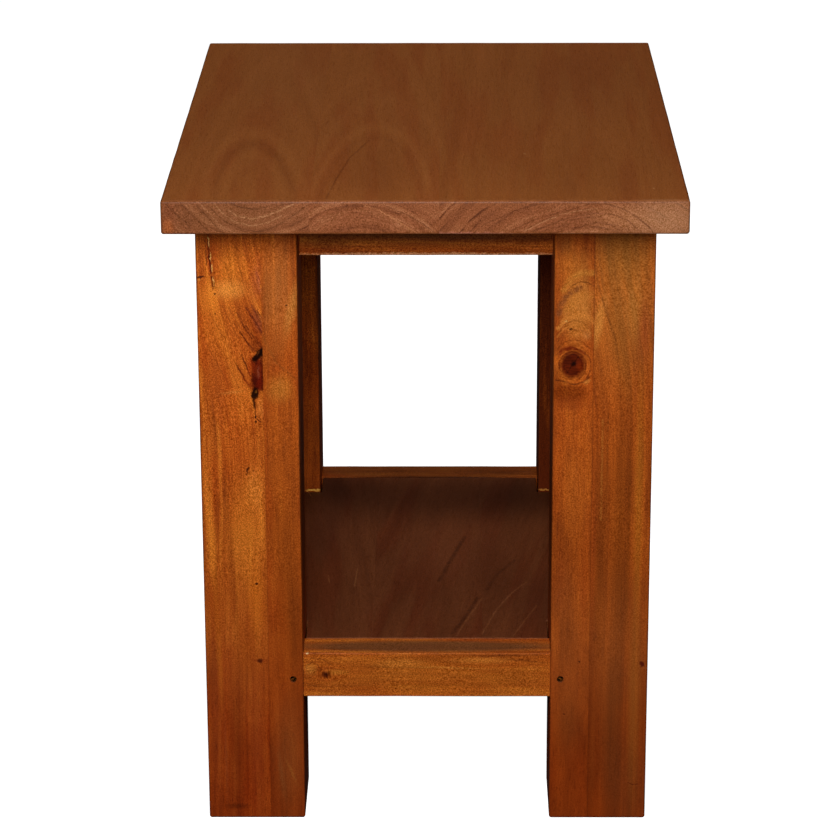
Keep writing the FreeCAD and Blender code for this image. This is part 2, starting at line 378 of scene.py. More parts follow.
def combine(piece, tool, operation):
    """Cuts a tool from a piece, or joins it on, and takes the tool away."""
    take(piece)
    modifier = piece.modifiers.new("joint", "BOOLEAN")
    modifier.operation = operation
    modifier.solver = "EXACT"
    modifier.object = tool
    bpy.ops.object.modifier_apply(modifier=modifier.name)
    bpy.data.objects.remove(tool, do_unlink=True)


def finish_shading(piece):
    """Smooths the rounded arrises and keeps the flat faces flat."""
    take(piece)
    bpy.ops.object.shade_smooth_by_angle(angle=SMOOTHED_BELOW)
    modifier = piece.modifiers.new("flat faces", "WEIGHTED_NORMAL")
    modifier.keep_sharp = True
    modifier.weight = FLAT_FACE_WEIGHT
    bpy.ops.object.modifier_apply(modifier=modifier.name)


def settle(piece, slot, material, *nodes):
    """Finishes a piece: shading, material, body and the nodes that it stands for; its slot is not used."""
    finish_shading(piece)
    piece.data.materials.clear()
    piece.data.materials.append(material)
    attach(piece, "root")
    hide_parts(*nodes)


def joined_box(nodes):
    """The box round several nodes of the frame."""
    return box_round([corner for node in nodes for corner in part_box(node)])


def leg_box(end, hand):
    """The box round both staves of a leg."""
    return joined_box(["leg_%s_%s_%s_stave" % (end, hand, stave) for stave in ("outer", "inner")])


def part_at_glue_lines(blank, names, slot, ease, stained):
    """Parts a glued blank into its boards, finishes each, and takes the blank away."""
    for name in names:
        low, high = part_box(name)
        board = ripped(blank, name + "_sawn", low[0], high[0], ease)
        settle(board, slot, stained(name), name)
    bpy.data.objects.remove(blank, do_unlink=True)


# Node helpers

MATH = "ShaderNodeMath"
VECTOR = "ShaderNodeVectorMath"
NOISE = "ShaderNodeTexNoise"
RANGE = "ShaderNodeMapRange"
MIX = "ShaderNodeMix"


def add(tree, kind, inputs=None, **settings):
    """Adds a node, gives it its settings, and links its inputs to nodes or sockets, or fills them."""
    node = tree.nodes.new(kind)
    for key, value in settings.items():
        setattr(node, key, value)
    for socket, value in (inputs or {}).items():
        if isinstance(value, bpy.types.Node):
            value = value.outputs[0]
        if isinstance(value, bpy.types.NodeSocket):
            tree.links.new(value, node.inputs[socket])
        else:
            node.inputs[socket].default_value = value
    return node


def fresh_tree(owner):
    """The emptied node tree of a material or of the world."""
    owner.use_nodes = True
    owner.node_tree.nodes.clear()
    return owner.node_tree


# Figure of solid wood, worked out from where each board lay in its log

def figure_group():
    """Bands, lines, fibres, pores and specks of solid wood, in millimetres round the pith along Z."""
    tree = bpy.data.node_groups.new("solid_wood_figure", "ShaderNodeTree")
    for name, kind in (("Place", "NodeSocketVector"), ("Ring gap", "NodeSocketFloat"),
                       ("Wander", "NodeSocketFloat")):
        tree.interface.new_socket(name, in_out="INPUT", socket_type=kind)
    for name in ("Bands", "Lines", "Fibres", "Pores", "Specks", "Cloud", "Blush"):
        tree.interface.new_socket(name, in_out="OUTPUT", socket_type="NodeSocketFloat")
    source = add(tree, "NodeGroupInput").outputs

    def pattern(vector, size, detail, roughness=0.5):
        """Clouds that are as wide across the log and as long along it as a size says."""
        scale = (1 / size[0], 1 / size[0], 1 / size[1])
        vector = add(tree, VECTOR, {0: vector, 1: scale}, operation="MULTIPLY")
        settings = {"Vector": vector, "Scale": 1.0, "Detail": detail, "Roughness": roughness}
        return add(tree, NOISE, settings, noise_dimensions="3D").outputs

    # Slow wander of the grain, and a finer one beside it
    moved = source["Place"]
    for size, detail, depth in ((SLOW_WANDER, 2, source["Wander"]), (FINE_WANDER, 3, FINE_WANDER_DEPTH)):
        aside = pattern(source["Place"], size, detail)["Color"]
        aside = add(tree, VECTOR, {0: aside, 1: (0.5, 0.5, 0.5)}, operation="SUBTRACT")
        aside = add(tree, VECTOR, {0: aside, "Scale": depth}, operation="SCALE")
        moved = add(tree, VECTOR, {0: moved, 1: aside}, operation="ADD")

    # Distance from the pith, counted in years
    across = add(tree, VECTOR, {0: moved, 1: (1, 1, 0)}, operation="MULTIPLY")
    radius = add(tree, VECTOR, {0: across}, operation="LENGTH").outputs["Value"]
    years = add(tree, MATH, {0: radius, 1: source["Ring gap"]}, operation="DIVIDE")

    # Broad bands, each about a year and a half wide
    bands = add(tree, NOISE, {"W": years, "Scale": 0.62, "Detail": 3.0, "Roughness": 0.6},
                noise_dimensions="1D")

    # The thin line that ends a year, stronger in some years and broken along its length
    share = add(tree, MATH, {0: years}, operation="FRACT")
    line = add(tree, RANGE, {0: share, 1: LATE_WOOD[0], 2: LATE_WOOD[1]}, interpolation_type="SMOOTHSTEP")
    fall = add(tree, RANGE, {0: share, 1: YEAR_END[0], 2: YEAR_END[1], 3: 1.0, 4: 0.0},
               interpolation_type="SMOOTHSTEP")
    strength = add(tree, NOISE, {"W": years, "Scale": 0.83, "Detail": 2.0}, noise_dimensions="1D")
    strength = add(tree, RANGE, {0: strength, 1: 0.42, 2: 0.66})
    broken = add(tree, RANGE, {0: pattern(moved, BROKEN_LINES, 3, 0.6)[0], 1: 0.38, 2: 0.60})
    for part in (fall, strength, broken):
        line = add(tree, MATH, {0: line, 1: part}, operation="MULTIPLY")

    # Fibres along the log, fine and coarse together
    fine = pattern(moved, FINE_FIBRES, 3, 0.65)[0]
    coarse = pattern(moved, COARSE_FIBRES, 2, 0.6)[0]
    fibres = add(tree, MATH, {0: fine, 1: coarse}, operation="ADD")
    fibres = add(tree, MATH, {0: fibres, 1: 0.5}, operation="MULTIPLY")

    # Pores as short dashes, and a redder blush like the stain's clouds, from another place of the log
    pores = add(tree, RANGE, {0: pattern(moved, PORE_DASHES, 2, 0.6)[0], 1: 0.57, 2: 0.72})
    elsewhere = add(tree, VECTOR, {0: moved, 1: (310, 170, 90)}, operation="ADD")
    add(tree, "NodeGroupOutput", {
        "Bands": bands, "Lines": line, "Fibres": fibres, "Pores": pores,
        "Specks": pattern(source["Place"], SANDY_SPECKS, 1, 0.6)[0],
        "Cloud": pattern(moved, STAIN_CLOUDS, 3, 0.55)[0],
        "Blush": pattern(elsewhere, BLUSH_CLOUDS, 2)[0]})


def grain_turn(grain, lean):
    """The turn, in radians, that lays a log's length along X, Y or Z, leaning by two angles."""
    first, second = (math.radians(angle) for angle in lean)
    if grain == "x":
        return (0, math.pi / 2 + first, second)
    if grain == "y":
        return (-math.pi / 2 + first, 0, second)
    return (first, second, 0)


def millimetres(values):
    """Lengths in millimetres as metres."""
    return tuple(value * MILLIMETRE for value in values)


def patch(at, size, tint, share, tilt=0, soft=0.9):
    """A patch of the wood: place and half-sizes in millimetres, tilt about Y in degrees."""
    return {"kind": "patch", "at": at, "size": size, "tint": tint, "share": share, "tilt": tilt,
            "soft": soft}


def spot(at, half, tint, share, tilt=0, soft=0.9, face=LEG_FACE):
    """A patch on an upright face: its place across and up, and its half-sizes."""
    return patch((at[0], face, at[1]), (half[0], 3, half[1]), tint, share, tilt, soft)


def stroke(start, end, width, tint, share, soft=0.6, face=LEG_FACE):
    """A streak on an upright face that thins out towards two places."""
    across, up = end[0] - start[0], end[1] - start[1]
    middle = ((start[0] + end[0]) / 2, (start[1] + end[1]) / 2)
    half = (width, math.hypot(across, up) / 2)
    return spot(middle, half, tint, share, math.degrees(math.atan2(across, up)), soft, face)


def thread(points, width, tint, share):
    """A thin line through several places; the width is to either side."""
    return {"kind": "thread", "points": points, "width": width, "tint": tint, "share": share}


def curve(points, width, tint, share, face=LEG_FACE):
    """A thin line on an upright face, through places across and up it."""
    return thread([(across, face, up) for across, up in points], width, tint, share)


def flat_curve(points, width, tint, share, face):
    """A thin line on a level face, through places across and along it."""
    return thread([(across, along, face) for across, along in points], width, tint, share)


def dust(across, along):
    """A pale speck of dust on the top."""
    return patch((across, along, TOP_FACE), (0.8, 2.0, 2), "#c88a58", 0.6, 0, 0.6)


def arris_stain(across, share):
    """Darker stain along the top's front arris, right across a board."""
    return patch((across, TOP_EDGE, TOP_FACE), (400, 2.6, 2.6), ARRIS_STAIN, share, 0, 0.5)


def arch(at, size, width, tint, share, keep=(0, 0, 1), turn=0):
    """A line round a knot or over it: an oval, its width as a share of its size, the side kept."""
    return {"kind": "arch", "at": at, "size": size, "width": width, "tint": tint, "share": share,
            "keep": keep, "turn": turn}


def wood(name, colours, family, grain, pith, lean=(0, 0), ring_gap=5.0, wander=10.0, shade=0.0,
         line_depth=0.14, contrast=1.0, sand=2.8, blush=0.3, rubbed=0.06, stretch=1.0, foot=0.0,
         shine=0.08, seams=(), seam_share=0.15, sweeps=(), marks=()):
    """Stained solid wood under satin lacquer, planed and sanded.

    Each board has its own place in its log, so the arcs on its ends and the arches on its faces
    belong together. Pores and specks are drawn a little coarser than real, so that they still show.
    The grain runs along x, y or z; pith is a place in millimetres on the line that the rings grew
    round, and lean turns that line by two angles in degrees. Shade, line depth, contrast, sand,
    blush, rubbed, shine and foot say how strong each look is; stretch draws the figure out. Foot is
    the strength of the painted shade that darkens and reddens a leg towards its foot.
    """
    material = bpy.data.materials.new(name)
    tree = fresh_tree(material)
    space = add(tree, "ShaderNodeTexCoord").outputs
    place = space["Object"]

    def away_from(vector, at, size, tilt=0.0, turn=0.0):
        """A place seen from an oval's own middle, and how far out it lies: 1 on the oval's edge."""
        mapped = add(tree, "ShaderNodeMapping",
                     {"Vector": vector, "Location": millimetres(at), "Scale": millimetres(size),
                      "Rotation": (0, math.radians(tilt), math.radians(turn))}, vector_type="TEXTURE")
        return mapped, add(tree, VECTOR, {0: mapped}, operation="LENGTH").outputs["Value"]

    def far_from_line(vector, start, end):
        """How far a place lies from the straight line between two others."""
        start, end = Vector(millimetres(start)), Vector(millimetres(end))
        run = end - start
        relative = add(tree, VECTOR, {0: vector, 1: start}, operation="SUBTRACT")
        along = add(tree, VECTOR, {0: relative, 1: run / run.length_squared}, operation="DOT_PRODUCT")
        along = add(tree, MATH, {0: along.outputs["Value"], 1: 0.0}, operation="MAXIMUM")
        along = add(tree, MATH, {0: along, 1: 1.0}, operation="MINIMUM")
        nearest = add(tree, VECTOR, {0: run, "Scale": along}, operation="SCALE")
        off = add(tree, VECTOR, {0: relative, 1: nearest}, operation="SUBTRACT")
        return add(tree, VECTOR, {0: off}, operation="LENGTH").outputs["Value"]

    # Ragged coordinates, so that marks have torn edges
    ragged = add(tree, NOISE, {"Vector": place, "Scale": TEARS_PER_METRE, "Detail": 3.0}).outputs["Color"]
    ragged = add(tree, VECTOR, {0: ragged, 1: (0.5, 0.5, 0.5)}, operation="SUBTRACT")
    uneven, shaky = (add(tree, VECTOR, {0: ragged, 1: (tear, tear, tear), 2: place},
                         operation="MULTIPLY_ADD") for tear in (PATCH_TEAR, LINE_TEAR))
    torn = add(tree, VECTOR, {0: ragged, 1: (1, 1, 1)}, operation="DOT_PRODUCT").outputs["Value"]
    torn = add(tree, RANGE, {0: torn, 1: -0.25, 2: 0.1, 3: 0.35}, interpolation_type="SMOOTHSTEP")

    # Near a knot the whole figure is swept aside
    drawn = place
    for at, reach, amount in sweeps:
        away = away_from(place, at, reach)[1]
        strength = add(tree, MATH, {0: away, 1: away}, operation="MULTIPLY")
        strength = add(tree, MATH, {0: strength, 1: -1.0}, operation="MULTIPLY")
        strength = add(tree, MATH, {0: strength}, operation="EXPONENT")
        aside = add(tree, VECTOR, {0: millimetres(amount), "Scale": strength}, operation="SCALE")
        drawn = add(tree, VECTOR, {0: drawn, 1: aside}, operation="ADD")
    log_place = add(tree, "ShaderNodeMapping",
                    {"Vector": drawn, "Location": millimetres(pith), "Rotation": grain_turn(grain, lean),
                     "Scale": millimetres((1, 1, stretch))}, vector_type="TEXTURE")
    figure = add(tree, "ShaderNodeGroup", {"Place": log_place, "Ring gap": ring_gap, "Wander": wander},
                 node_tree=bpy.data.node_groups["solid_wood_figure"]).outputs

    # The legs were sanded finer towards their feet
    across, _, height = add(tree, "ShaderNodeSeparateXYZ", {0: place}).outputs
    sandy = 1.0
    if foot:
        sandy = add(tree, RANGE, {0: height, 1: SANDED_FINER[0], 2: SANDED_FINER[1], 3: FOOT_SAND},
                    interpolation_type="SMOOTHSTEP")
    fibres = add(tree, MATH, {0: figure["Fibres"], 1: 0.5}, operation="SUBTRACT")
    fibres = add(tree, MATH, {0: fibres, 1: sandy, 2: 0.5}, operation="MULTIPLY_ADD")

    # Tone from the figure, lighter above one half and darker below it, on a face and on a cut end
    tone = 0.5 + shade - contrast * (FACE_BANDS + FACE_CLOUD + FACE_FIBRES) / 2
    for part, weight in ((figure["Bands"], FACE_BANDS * contrast), (figure["Cloud"], FACE_CLOUD * contrast),
                         (fibres, FACE_FIBRES * contrast), (figure["Lines"], -line_depth)):
        tone = add(tree, MATH, {0: part, 1: weight, 2: tone}, operation="MULTIPLY_ADD")
    end_tone = END_MIDDLE - (END_BANDS + END_FIBRES + END_BLUSH) / 2
    for part, weight in (("Bands", END_BANDS), ("Fibres", END_FIBRES), ("Blush", END_BLUSH),
                         ("Lines", END_LINES)):
        end_tone = add(tree, MATH, {0: figure[part], 1: weight, 2: end_tone}, operation="MULTIPLY_ADD")
    ramps = []
    for value, stain_family in ((tone, family), (end_tone, "end")):
        ramps.append(add(tree, "ShaderNodeValToRGB", {0: value}))
        stops = ramps[-1].color_ramp.elements
        stops[0].color = linear(getattr(colours, stain_family + "_dark"))
        stops[1].color = linear(getattr(colours, stain_family + "_light"))
        stops.new(0.5).color = linear(getattr(colours, stain_family + "_middle"))
    colour, end_colour = ramps

    # Redder places and stained pores
    blushing = add(tree, RANGE, {0: figure["Blush"], 1: BLUSHED[0], 2: BLUSHED[1], 4: blush},
                   interpolation_type="SMOOTHSTEP")
    stained_pores = add(tree, MATH, {0: figure["Pores"], 1: PORE_STAIN * contrast}, operation="MULTIPLY")
    for share, tint in ((blushing, colours.red_blush), (stained_pores, colours.pore)):
        colour = add(tree, MIX, {"Factor": share, 6: colour, 7: linear(tint)}, data_type="RGBA",
                     blend_type="MULTIPLY").outputs[2]

    # Stain soaks into the cut ends, where the rings stand out as pale and dark arcs
    parts = add(tree, "ShaderNodeSeparateXYZ", {0: space["Normal"]}).outputs
    facing = [add(tree, MATH, {0: part}, operation="ABSOLUTE") for part in parts]
    end_share = add(tree, RANGE, {0: facing["xyz".index(grain)], 1: CUT_END[0], 2: CUT_END[1]},
                    interpolation_type="SMOOTHSTEP")
    colour = add(tree, MIX, {"Factor": end_share, 6: colour, 7: end_colour}, data_type="RGBA").outputs[2]

    # Along an arris the finish is rubbed thin
    flatness = add(tree, MATH, {0: facing[0], 1: facing[1]}, operation="MAXIMUM")
    flatness = add(tree, MATH, {0: flatness, 1: facing[2]}, operation="MAXIMUM")
    share = add(tree, RANGE, {0: flatness, 1: ON_ARRIS[0], 2: ON_ARRIS[1], 4: rubbed},
                interpolation_type="SMOOTHSTEP")
    colour = add(tree, MIX, {"Factor": share, 6: colour, 7: linear(colours.rubbed_edge)},
                 data_type="RGBA").outputs[2]

    # Towards its foot a leg is painted darker and redder: painted shade where less light reaches
    if foot:
        share = add(tree, RANGE, {0: height, 1: TOWARDS_FOOT[0], 2: TOWARDS_FOOT[1], 4: foot},
                    interpolation_type="SMOOTHSTEP")
        colour = add(tree, MIX, {"Factor": share, 6: colour, 7: linear(colours.foot_painted_shade)},
                     data_type="RGBA", blend_type="MULTIPLY").outputs[2]

    # Patches, arches and thin lines, each over those before it in the list
    for mark in marks:
        if mark["kind"] == "patch":
            away = away_from(uneven, mark["at"], mark["size"], mark["tilt"])[1]
            share = add(tree, RANGE, {0: away, 1: 1 + mark["soft"] / 2, 2: 1 - mark["soft"],
                                      4: mark["share"]}, interpolation_type="SMOOTHSTEP")
        elif mark["kind"] == "arch":
            mapped, away = away_from(shaky, mark["at"], mark["size"], 0.0, mark["turn"])
            off = add(tree, MATH, {0: away, 1: 1.0}, operation="SUBTRACT")
            off = add(tree, MATH, {0: off}, operation="ABSOLUTE")
            share = add(tree, RANGE, {0: off, 1: mark["width"], 2: 0.0, 4: mark["share"]},
                        interpolation_type="SMOOTHSTEP")
            share = add(tree, MATH, {0: share, 1: torn}, operation="MULTIPLY")
            if mark["keep"]:
                side = add(tree, VECTOR, {0: mapped, 1: mark["keep"]}, operation="DOT_PRODUCT")
                side = add(tree, RANGE, {0: side.outputs["Value"], 1: 0.0, 2: 0.3},
                           interpolation_type="SMOOTHSTEP")
                share = add(tree, MATH, {0: share, 1: side}, operation="MULTIPLY")
        else:
            off = 1.0
            for start, end in zip(mark["points"], mark["points"][1:]):
                off = add(tree, MATH, {0: off, 1: far_from_line(shaky, start, end)}, operation="MINIMUM")
            wide = mark["width"] * MILLIMETRE
            share = add(tree, RANGE, {0: off, 1: wide * 1.6, 2: wide * 0.4, 4: mark["share"]},
                        interpolation_type="SMOOTHSTEP")
            share = add(tree, MATH, {0: share, 1: torn}, operation="MULTIPLY")
        colour = add(tree, MIX, {"Factor": share, 6: colour, 7: linear(mark["tint"])},
                     data_type="RGBA").outputs[2]

    # Fine grit of pores and lacquer, paler where it is lighter and coarser on a cut end
    grit = add(tree, MATH, {0: figure["Specks"], 1: 0.5}, operation="SUBTRACT")
    coarser = add(tree, MATH, {0: end_share, 1: END_GRIT / sand, 2: 1.0}, operation="MULTIPLY_ADD")
    for part in (sandy, coarser):
        grit = add(tree, MATH, {0: grit, 1: part}, operation="MULTIPLY")
    grit = add(tree, VECTOR, {0: [share * sand for share in GRIT_TINT], "Scale": grit}, operation="SCALE")
    grit = add(tree, VECTOR, {0: grit, 1: (1, 1, 1)}, operation="ADD")
    colour = add(tree, VECTOR, {0: colour, 1: grit}, operation="MULTIPLY")

    # A thin dark line on either side of a glue line
    for seam in seams:
        off = add(tree, MATH, {0: across, 1: seam * MILLIMETRE}, operation="SUBTRACT")
        off = add(tree, MATH, {0: off}, operation="ABSOLUTE")
        share = add(tree, RANGE, {0: off, 1: GLUE_LINE_EDGE[0], 2: GLUE_LINE_EDGE[1], 4: seam_share},
                    interpolation_type="SMOOTHSTEP")
        colour = add(tree, MIX, {"Factor": share, 6: colour, 7: linear(colours.glue_line)},
                     data_type="RGBA").outputs[2]

    # Satin lacquer sinks a little into pores and fibres
    gloss = add(tree, MATH, {0: figure["Cloud"], 1: -0.2, 2: 0.54}, operation="MULTIPLY_ADD")
    gloss = add(tree, MATH, {0: figure["Pores"], 1: 0.12, 2: gloss}, operation="MULTIPLY_ADD")
    relief = add(tree, MATH, {0: figure["Fibres"], 1: 0.5}, operation="MULTIPLY")
    relief = add(tree, MATH, {0: figure["Pores"], 1: -0.8, 2: relief}, operation="MULTIPLY_ADD")
    bump = add(tree, "ShaderNodeBump", {"Strength": 0.3, "Distance": 0.2 * MILLIMETRE, "Height": relief})
    shader = add(tree, "ShaderNodeBsdfPrincipled",
                 {"Base Color": colour, "Roughness": gloss, "Normal": bump, "IOR": LACQUER_IOR,
                  "Specular IOR Level": shine})
    add(tree, "ShaderNodeOutputMaterial", {"Surface": shader})
    return material


def oiled_steel(name, colours, outer=None):
    """Drawn steel under clear lacquer that has yellowed, with specks of oil and dust, and painted shade in
    its pockets.

    Where a pin's end lies at the given distance from the middle, its pockets and all that lies deeper are
    painted nearly black, as shade in the recess.
    """
    material = bpy.data.materials.new(name)
    tree = fresh_tree(material)
    place = add(tree, "ShaderNodeTexCoord").outputs["Object"]
    grime = add(tree, NOISE, {"Vector": place, "Scale": GRIME_PER_METRE, "Detail": 3.0})
    share = add(tree, RANGE, {0: grime, 1: 0.38, 2: 0.60, 4: 0.95 if outer else 0.7})
    # Painted shade: the pins' pockets and all that lies deeper are made nearly black
    if outer:
        along = add(tree, "ShaderNodeSeparateXYZ", {0: place}).outputs[1]
        along = add(tree, MATH, {0: along}, operation="ABSOLUTE")
        pocket_painted_shade = add(tree, RANGE, {0: along, 1: outer - 0.3 * MILLIMETRE, 2: outer - 0.7 * MILLIMETRE,
                                  4: 0.97})
        share = add(tree, MATH, {0: share, 1: pocket_painted_shade}, operation="MAXIMUM")
    colour = add(tree, MIX, {"Factor": share, 6: linear(colours.steel), 7: linear(colours.grime)},
                 data_type="RGBA").outputs[2]
    rough = add(tree, RANGE, {0: grime, 1: 0.3, 2: 0.7, 3: 0.35, 4: 0.6})
    bump = add(tree, "ShaderNodeBump", {"Strength": 0.4, "Distance": 0.1 * MILLIMETRE, "Height": grime})
    shader = add(tree, "ShaderNodeBsdfPrincipled",
                 {"Base Color": colour, "Roughness": rough, "Normal": bump, "Metallic": 0.1,
                  "Specular IOR Level": 0.05})
    add(tree, "ShaderNodeOutputMaterial", {"Surface": shader})
    return material


# Top

def top_logs():
    """Where each board of the top lay in its log; two show an arch that opens to the front."""
    rear = (0, 1, 0)
    left_marks = [
        arch((-143, -330, TOP_FACE), (34, 216, 8), 0.15, "#763c18", 0.36, rear, 4),
        arch((-143, -330, TOP_FACE), (26, 180, 8), 0.24, "#a4622e", 0.24, rear, 4),
        arch((-143, -330, TOP_FACE), (44, 262, 8), 0.14, "#a8652f", 0.30, rear, 4),
        patch((-130, 180, TOP_FACE), (60, 190, 9), "#93582c", 0.25),
        patch((-218, TOP_EDGE, 584), (8, 6, 16), "#74341a", 0.5),
        patch((-115, TOP_EDGE, 590), (24, 6, 9), "#8c5230", 0.4),
        patch((-165, TOP_EDGE, 586), (60, 6, 18), "#7c4c2a", 0.50),
        spot((-219, 576), (5, 9), "#b4602c", 0.5, face=TOP_EDGE),
        curve(((-168, 592), (-160, 587), (-147, 584), (-134, 587), (-122, 592), (-112, 597)), 0.8,
              "#b07a50", 0.55, TOP_EDGE),
        curve(((-162, 597), (-156, 594), (-144, 592.5), (-132, 595)), 0.6, BROWN_RING, 0.60, TOP_EDGE),
        curve(((-184, 596), (-176, 587), (-168, 580.5), (-156, 575.5), (-144, 573), (-130, 576),
               (-119, 582), (-107, 591), (-99.5, 596)), 0.6, BROWN_RING, 0.60, TOP_EDGE),
        curve(((-179, 597), (-171, 588), (-161, 581), (-147, 578), (-133, 581), (-122, 587)), 0.6,
              "#b07a50", 0.45, TOP_EDGE),
        curve(((-194, 596), (-185, 586), (-177.5, 577), (-171, 571)), 0.6, BROWN_RING, 0.60, TOP_EDGE),
        curve(((-190, 596), (-181, 586), (-172, 577), (-163, 572)), 0.5, "#a8704a", 0.50, TOP_EDGE),
        curve(((-207, 597), (-199, 589), (-191, 580.5), (-184, 573)), 0.6, BROWN_RING, 0.60, TOP_EDGE),
        curve(((-220, 597), (-214, 591), (-203.5, 581.5), (-199, 574)), 0.7, "#542a10", 0.60, TOP_EDGE),
        arris_stain(-160, 0.50),
    ]
    middle_marks = [
        patch((-42, -220, TOP_FACE), (34, 110, 9), "#7a3e18", 0.40),
        arch((-46, -340, TOP_FACE), (44, 250, 8), 0.06, "#6e3614", 0.20, rear),
        arch((-46, -340, TOP_FACE), (51, 290, 8), 0.09, "#a8652f", 0.30, rear),
        arch((-40, -330, TOP_FACE), (66, 390, 8), 0.10, "#a2602e", 0.20, rear),
        flat_curve(((-84, -303), (-78, -241), (-68, -165), (-52, -100)), 0.8, "#5e2c10", 0.50, TOP_FACE),
        curve(((-85, 591), (-77, 593.5), (-68, 595)), 0.5, DARK_RING, 0.50, TOP_EDGE),
        curve(((-52, 596), (-38, 591), (-23, 582), (-7, 571)), 0.7, "#b47448", 0.50, TOP_EDGE),
        curve(((-60, 590), (-44, 586), (-30, 580), (-18, 572)), 0.5, "#6a3416", 0.50, TOP_EDGE),
        curve(((-33, 595), (-16, 588), (-1, 579), (8, 572)), 0.6, DARK_RING, 0.55, TOP_EDGE),
        curve(((-54, 579), (-40, 578), (-30, 574)), 0.6, DARK_RING, 0.55, TOP_EDGE),
        curve(((-92, 574), (-84, 583), (-72, 588)), 0.5, "#a86c44", 0.40, TOP_EDGE),
        arris_stain(-45, 0.45),
    ]
    right_marks = [
        patch((150, 150, TOP_FACE), (80, 170, 9), "#7e4420", 0.22),
        patch((60, -240, TOP_FACE), (26, 80, 9), "#a05c2a", 0.22),
        patch((110, -220, TOP_FACE), (110, 120, 9), "#844a1c", 0.30),
        patch((125, -270, TOP_FACE), (9, 60, 9), "#7c401c", 0.25),
        patch((176, -250, TOP_FACE), (9, 80, 9), "#7c401c", 0.25),
        patch((206, TOP_EDGE, 583), (34, 6, 22), "#c08a60", 0.45),
        patch((165, TOP_EDGE, 583), (26, 6, 14), "#b4784c", 0.35),
        # A painted highlight along the lower arris of the front edge
        patch((30, TOP_EDGE, 571), (40, 6, 1.4), "#d08468", 0.5),
        curve(((27, 588), (37, 597)), 0.5, DARK_RING, 0.50, TOP_EDGE),
        curve(((37, 571), (47, 583)), 0.6, "#4e200a", 0.65, TOP_EDGE),
        curve(((41, 571), (50, 579), (61, 584), (73, 590), (86, 594), (101, 598)), 0.6, DARK_RING,
              0.60, TOP_EDGE),
        curve(((66, 570), (76, 575), (86, 580), (95, 584), (107, 587.5), (119, 591), (130, 594)), 0.6,
              DARK_RING, 0.60, TOP_EDGE),
        curve(((92, 573), (104, 578), (116, 583), (130, 587), (145, 589), (161, 587.5), (173, 582),
               (180, 575), (187, 569)), 0.6, "#64341a", 0.55, TOP_EDGE),
        curve(((131, 597.5), (153, 597.5), (168, 592.5), (180.5, 585), (190, 577), (196, 569)), 0.7,
              DARK_RING, 0.60, TOP_EDGE),
        curve(((122, 572), (134.5, 578), (147, 581), (159, 578), (168, 572)), 0.6, "#64341a", 0.55, TOP_EDGE),
        curve(((84, 573), (100, 581), (116, 588), (130, 591), (146, 593)), 0.5, "#b47c52", 0.45, TOP_EDGE),
        arris_stain(110, 0.45),
        dust(8, -123), dust(88, -150), dust(196, -270),
    ]
    return {
        "top_board_left": {"pith": (-145, 0, 668), "lean": (3.2, 0.6), "ring_gap": 6.5, "wander": 8,
                           "marks": left_marks},
        "top_board_middle": {"pith": (-60, 0, 505), "lean": (-2.6, 1.0), "ring_gap": 6.5, "wander": 8,
                             "marks": middle_marks},
        "top_board_right": {"pith": (142, 0, 470), "lean": (-1.6, -1.0), "ring_gap": 7.5, "wander": 12,
                            "shade": -0.04, "marks": right_marks},
    }


def model_top(sizes, colours):
    """The top: one glued blank, rounded all over, then parted at its glue lines."""
    low, high = joined_box(TOP_BOARDS)
    blank = block("top_blank", low, high)
    bevel_edges(blank, sizes.top_arris, ROUNDED, lambda first, second: True)
    divide_along(blank, 1, sizes.sanding_step)
    divide_along(blank, 0, sizes.sanding_step)
    wave_arrises(blank, low, high, sizes.sanding_wave, TOP_WAVE_SEED)
    logs = top_logs()

    def stained(name):
        return wood(name + "_stained", colours, "top", "y", contrast=0.45, line_depth=0.10, blush=0.2,
                    sand=0.9, rubbed=0.02, stretch=3.0, shine=0.2, **logs[name])

    part_at_glue_lines(blank, TOP_BOARDS, "top_wood", sizes.seam_ease, stained)


# Legs

def mortise(along, centre, half, start, end, z_low, z_high):
    """A cutter for a mortise: its axis, middle and half-width, and the reach of its length and height."""
    low, high = Vector((centre - half, centre - half, z_low)), Vector((centre + half, centre + half, z_high))
    low[along], high[along] = start, end
    return block("mortise", low, high)


def apron_mortises(sizes, high):
    """Cutters for the haunched mortises in the two inner faces of the front left leg."""
    apron_low, apron_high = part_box("apron_front")
    side_low, side_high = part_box("apron_left")
    centres = ((apron_low[1] + apron_high[1]) / 2, (side_low[0] + side_high[0]) / 2)
    past = sizes.mortise_end_room
    half = sizes.apron_tenon_thickness / 2 + sizes.mortise_fit
    z_low = apron_low[2] + sizes.apron_tenon_shoulder - sizes.mortise_fit
    z_haunch = high.z - sizes.haunch_height
    cutters = []
    for along, centre in enumerate(centres):
        deep = centres[1 - along] - sizes.apron_tenon_thickness / 2 - past
        shallow = high[along] - sizes.haunch_length - past
        open_end = high[along] + past
        cutters += [mortise(along, centre, half, deep, open_end, z_low, z_haunch + sizes.mortise_fit),
                    mortise(along, centre, half, shallow, open_end, z_haunch - past, high.z + past)]
    return cutters


def rail_mortises(sizes, high):
    """Cutters for the rails' mortises in the same two faces."""
    rail_low, rail_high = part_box("rail_front")
    side_low, side_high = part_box("rail_left")
    centres = ((rail_low[1] + rail_high[1]) / 2, (side_low[0] + side_high[0]) / 2)
    past = sizes.mortise_end_room
    half = sizes.rail_tenon_thickness / 2 + sizes.mortise_fit
    z_low = rail_low[2] + sizes.rail_tenon_shoulder - sizes.mortise_fit
    z_high = rail_high[2] - sizes.rail_tenon_shoulder + sizes.mortise_fit
    return [mortise(along, centre, half, start - past, high[along] + past, z_low, z_high)
            for along, centre, start in zip((0, 1), centres, (rail_low[0], side_low[1]))]


def pin_places():
    """Where the pins of the end rails stand: half their spread, their height and their outer end."""
    low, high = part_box("rail_pins")
    radius = (high[2] - low[2]) / 2
    return high[0] - radius, (low[2] + high[2]) / 2, high[1]


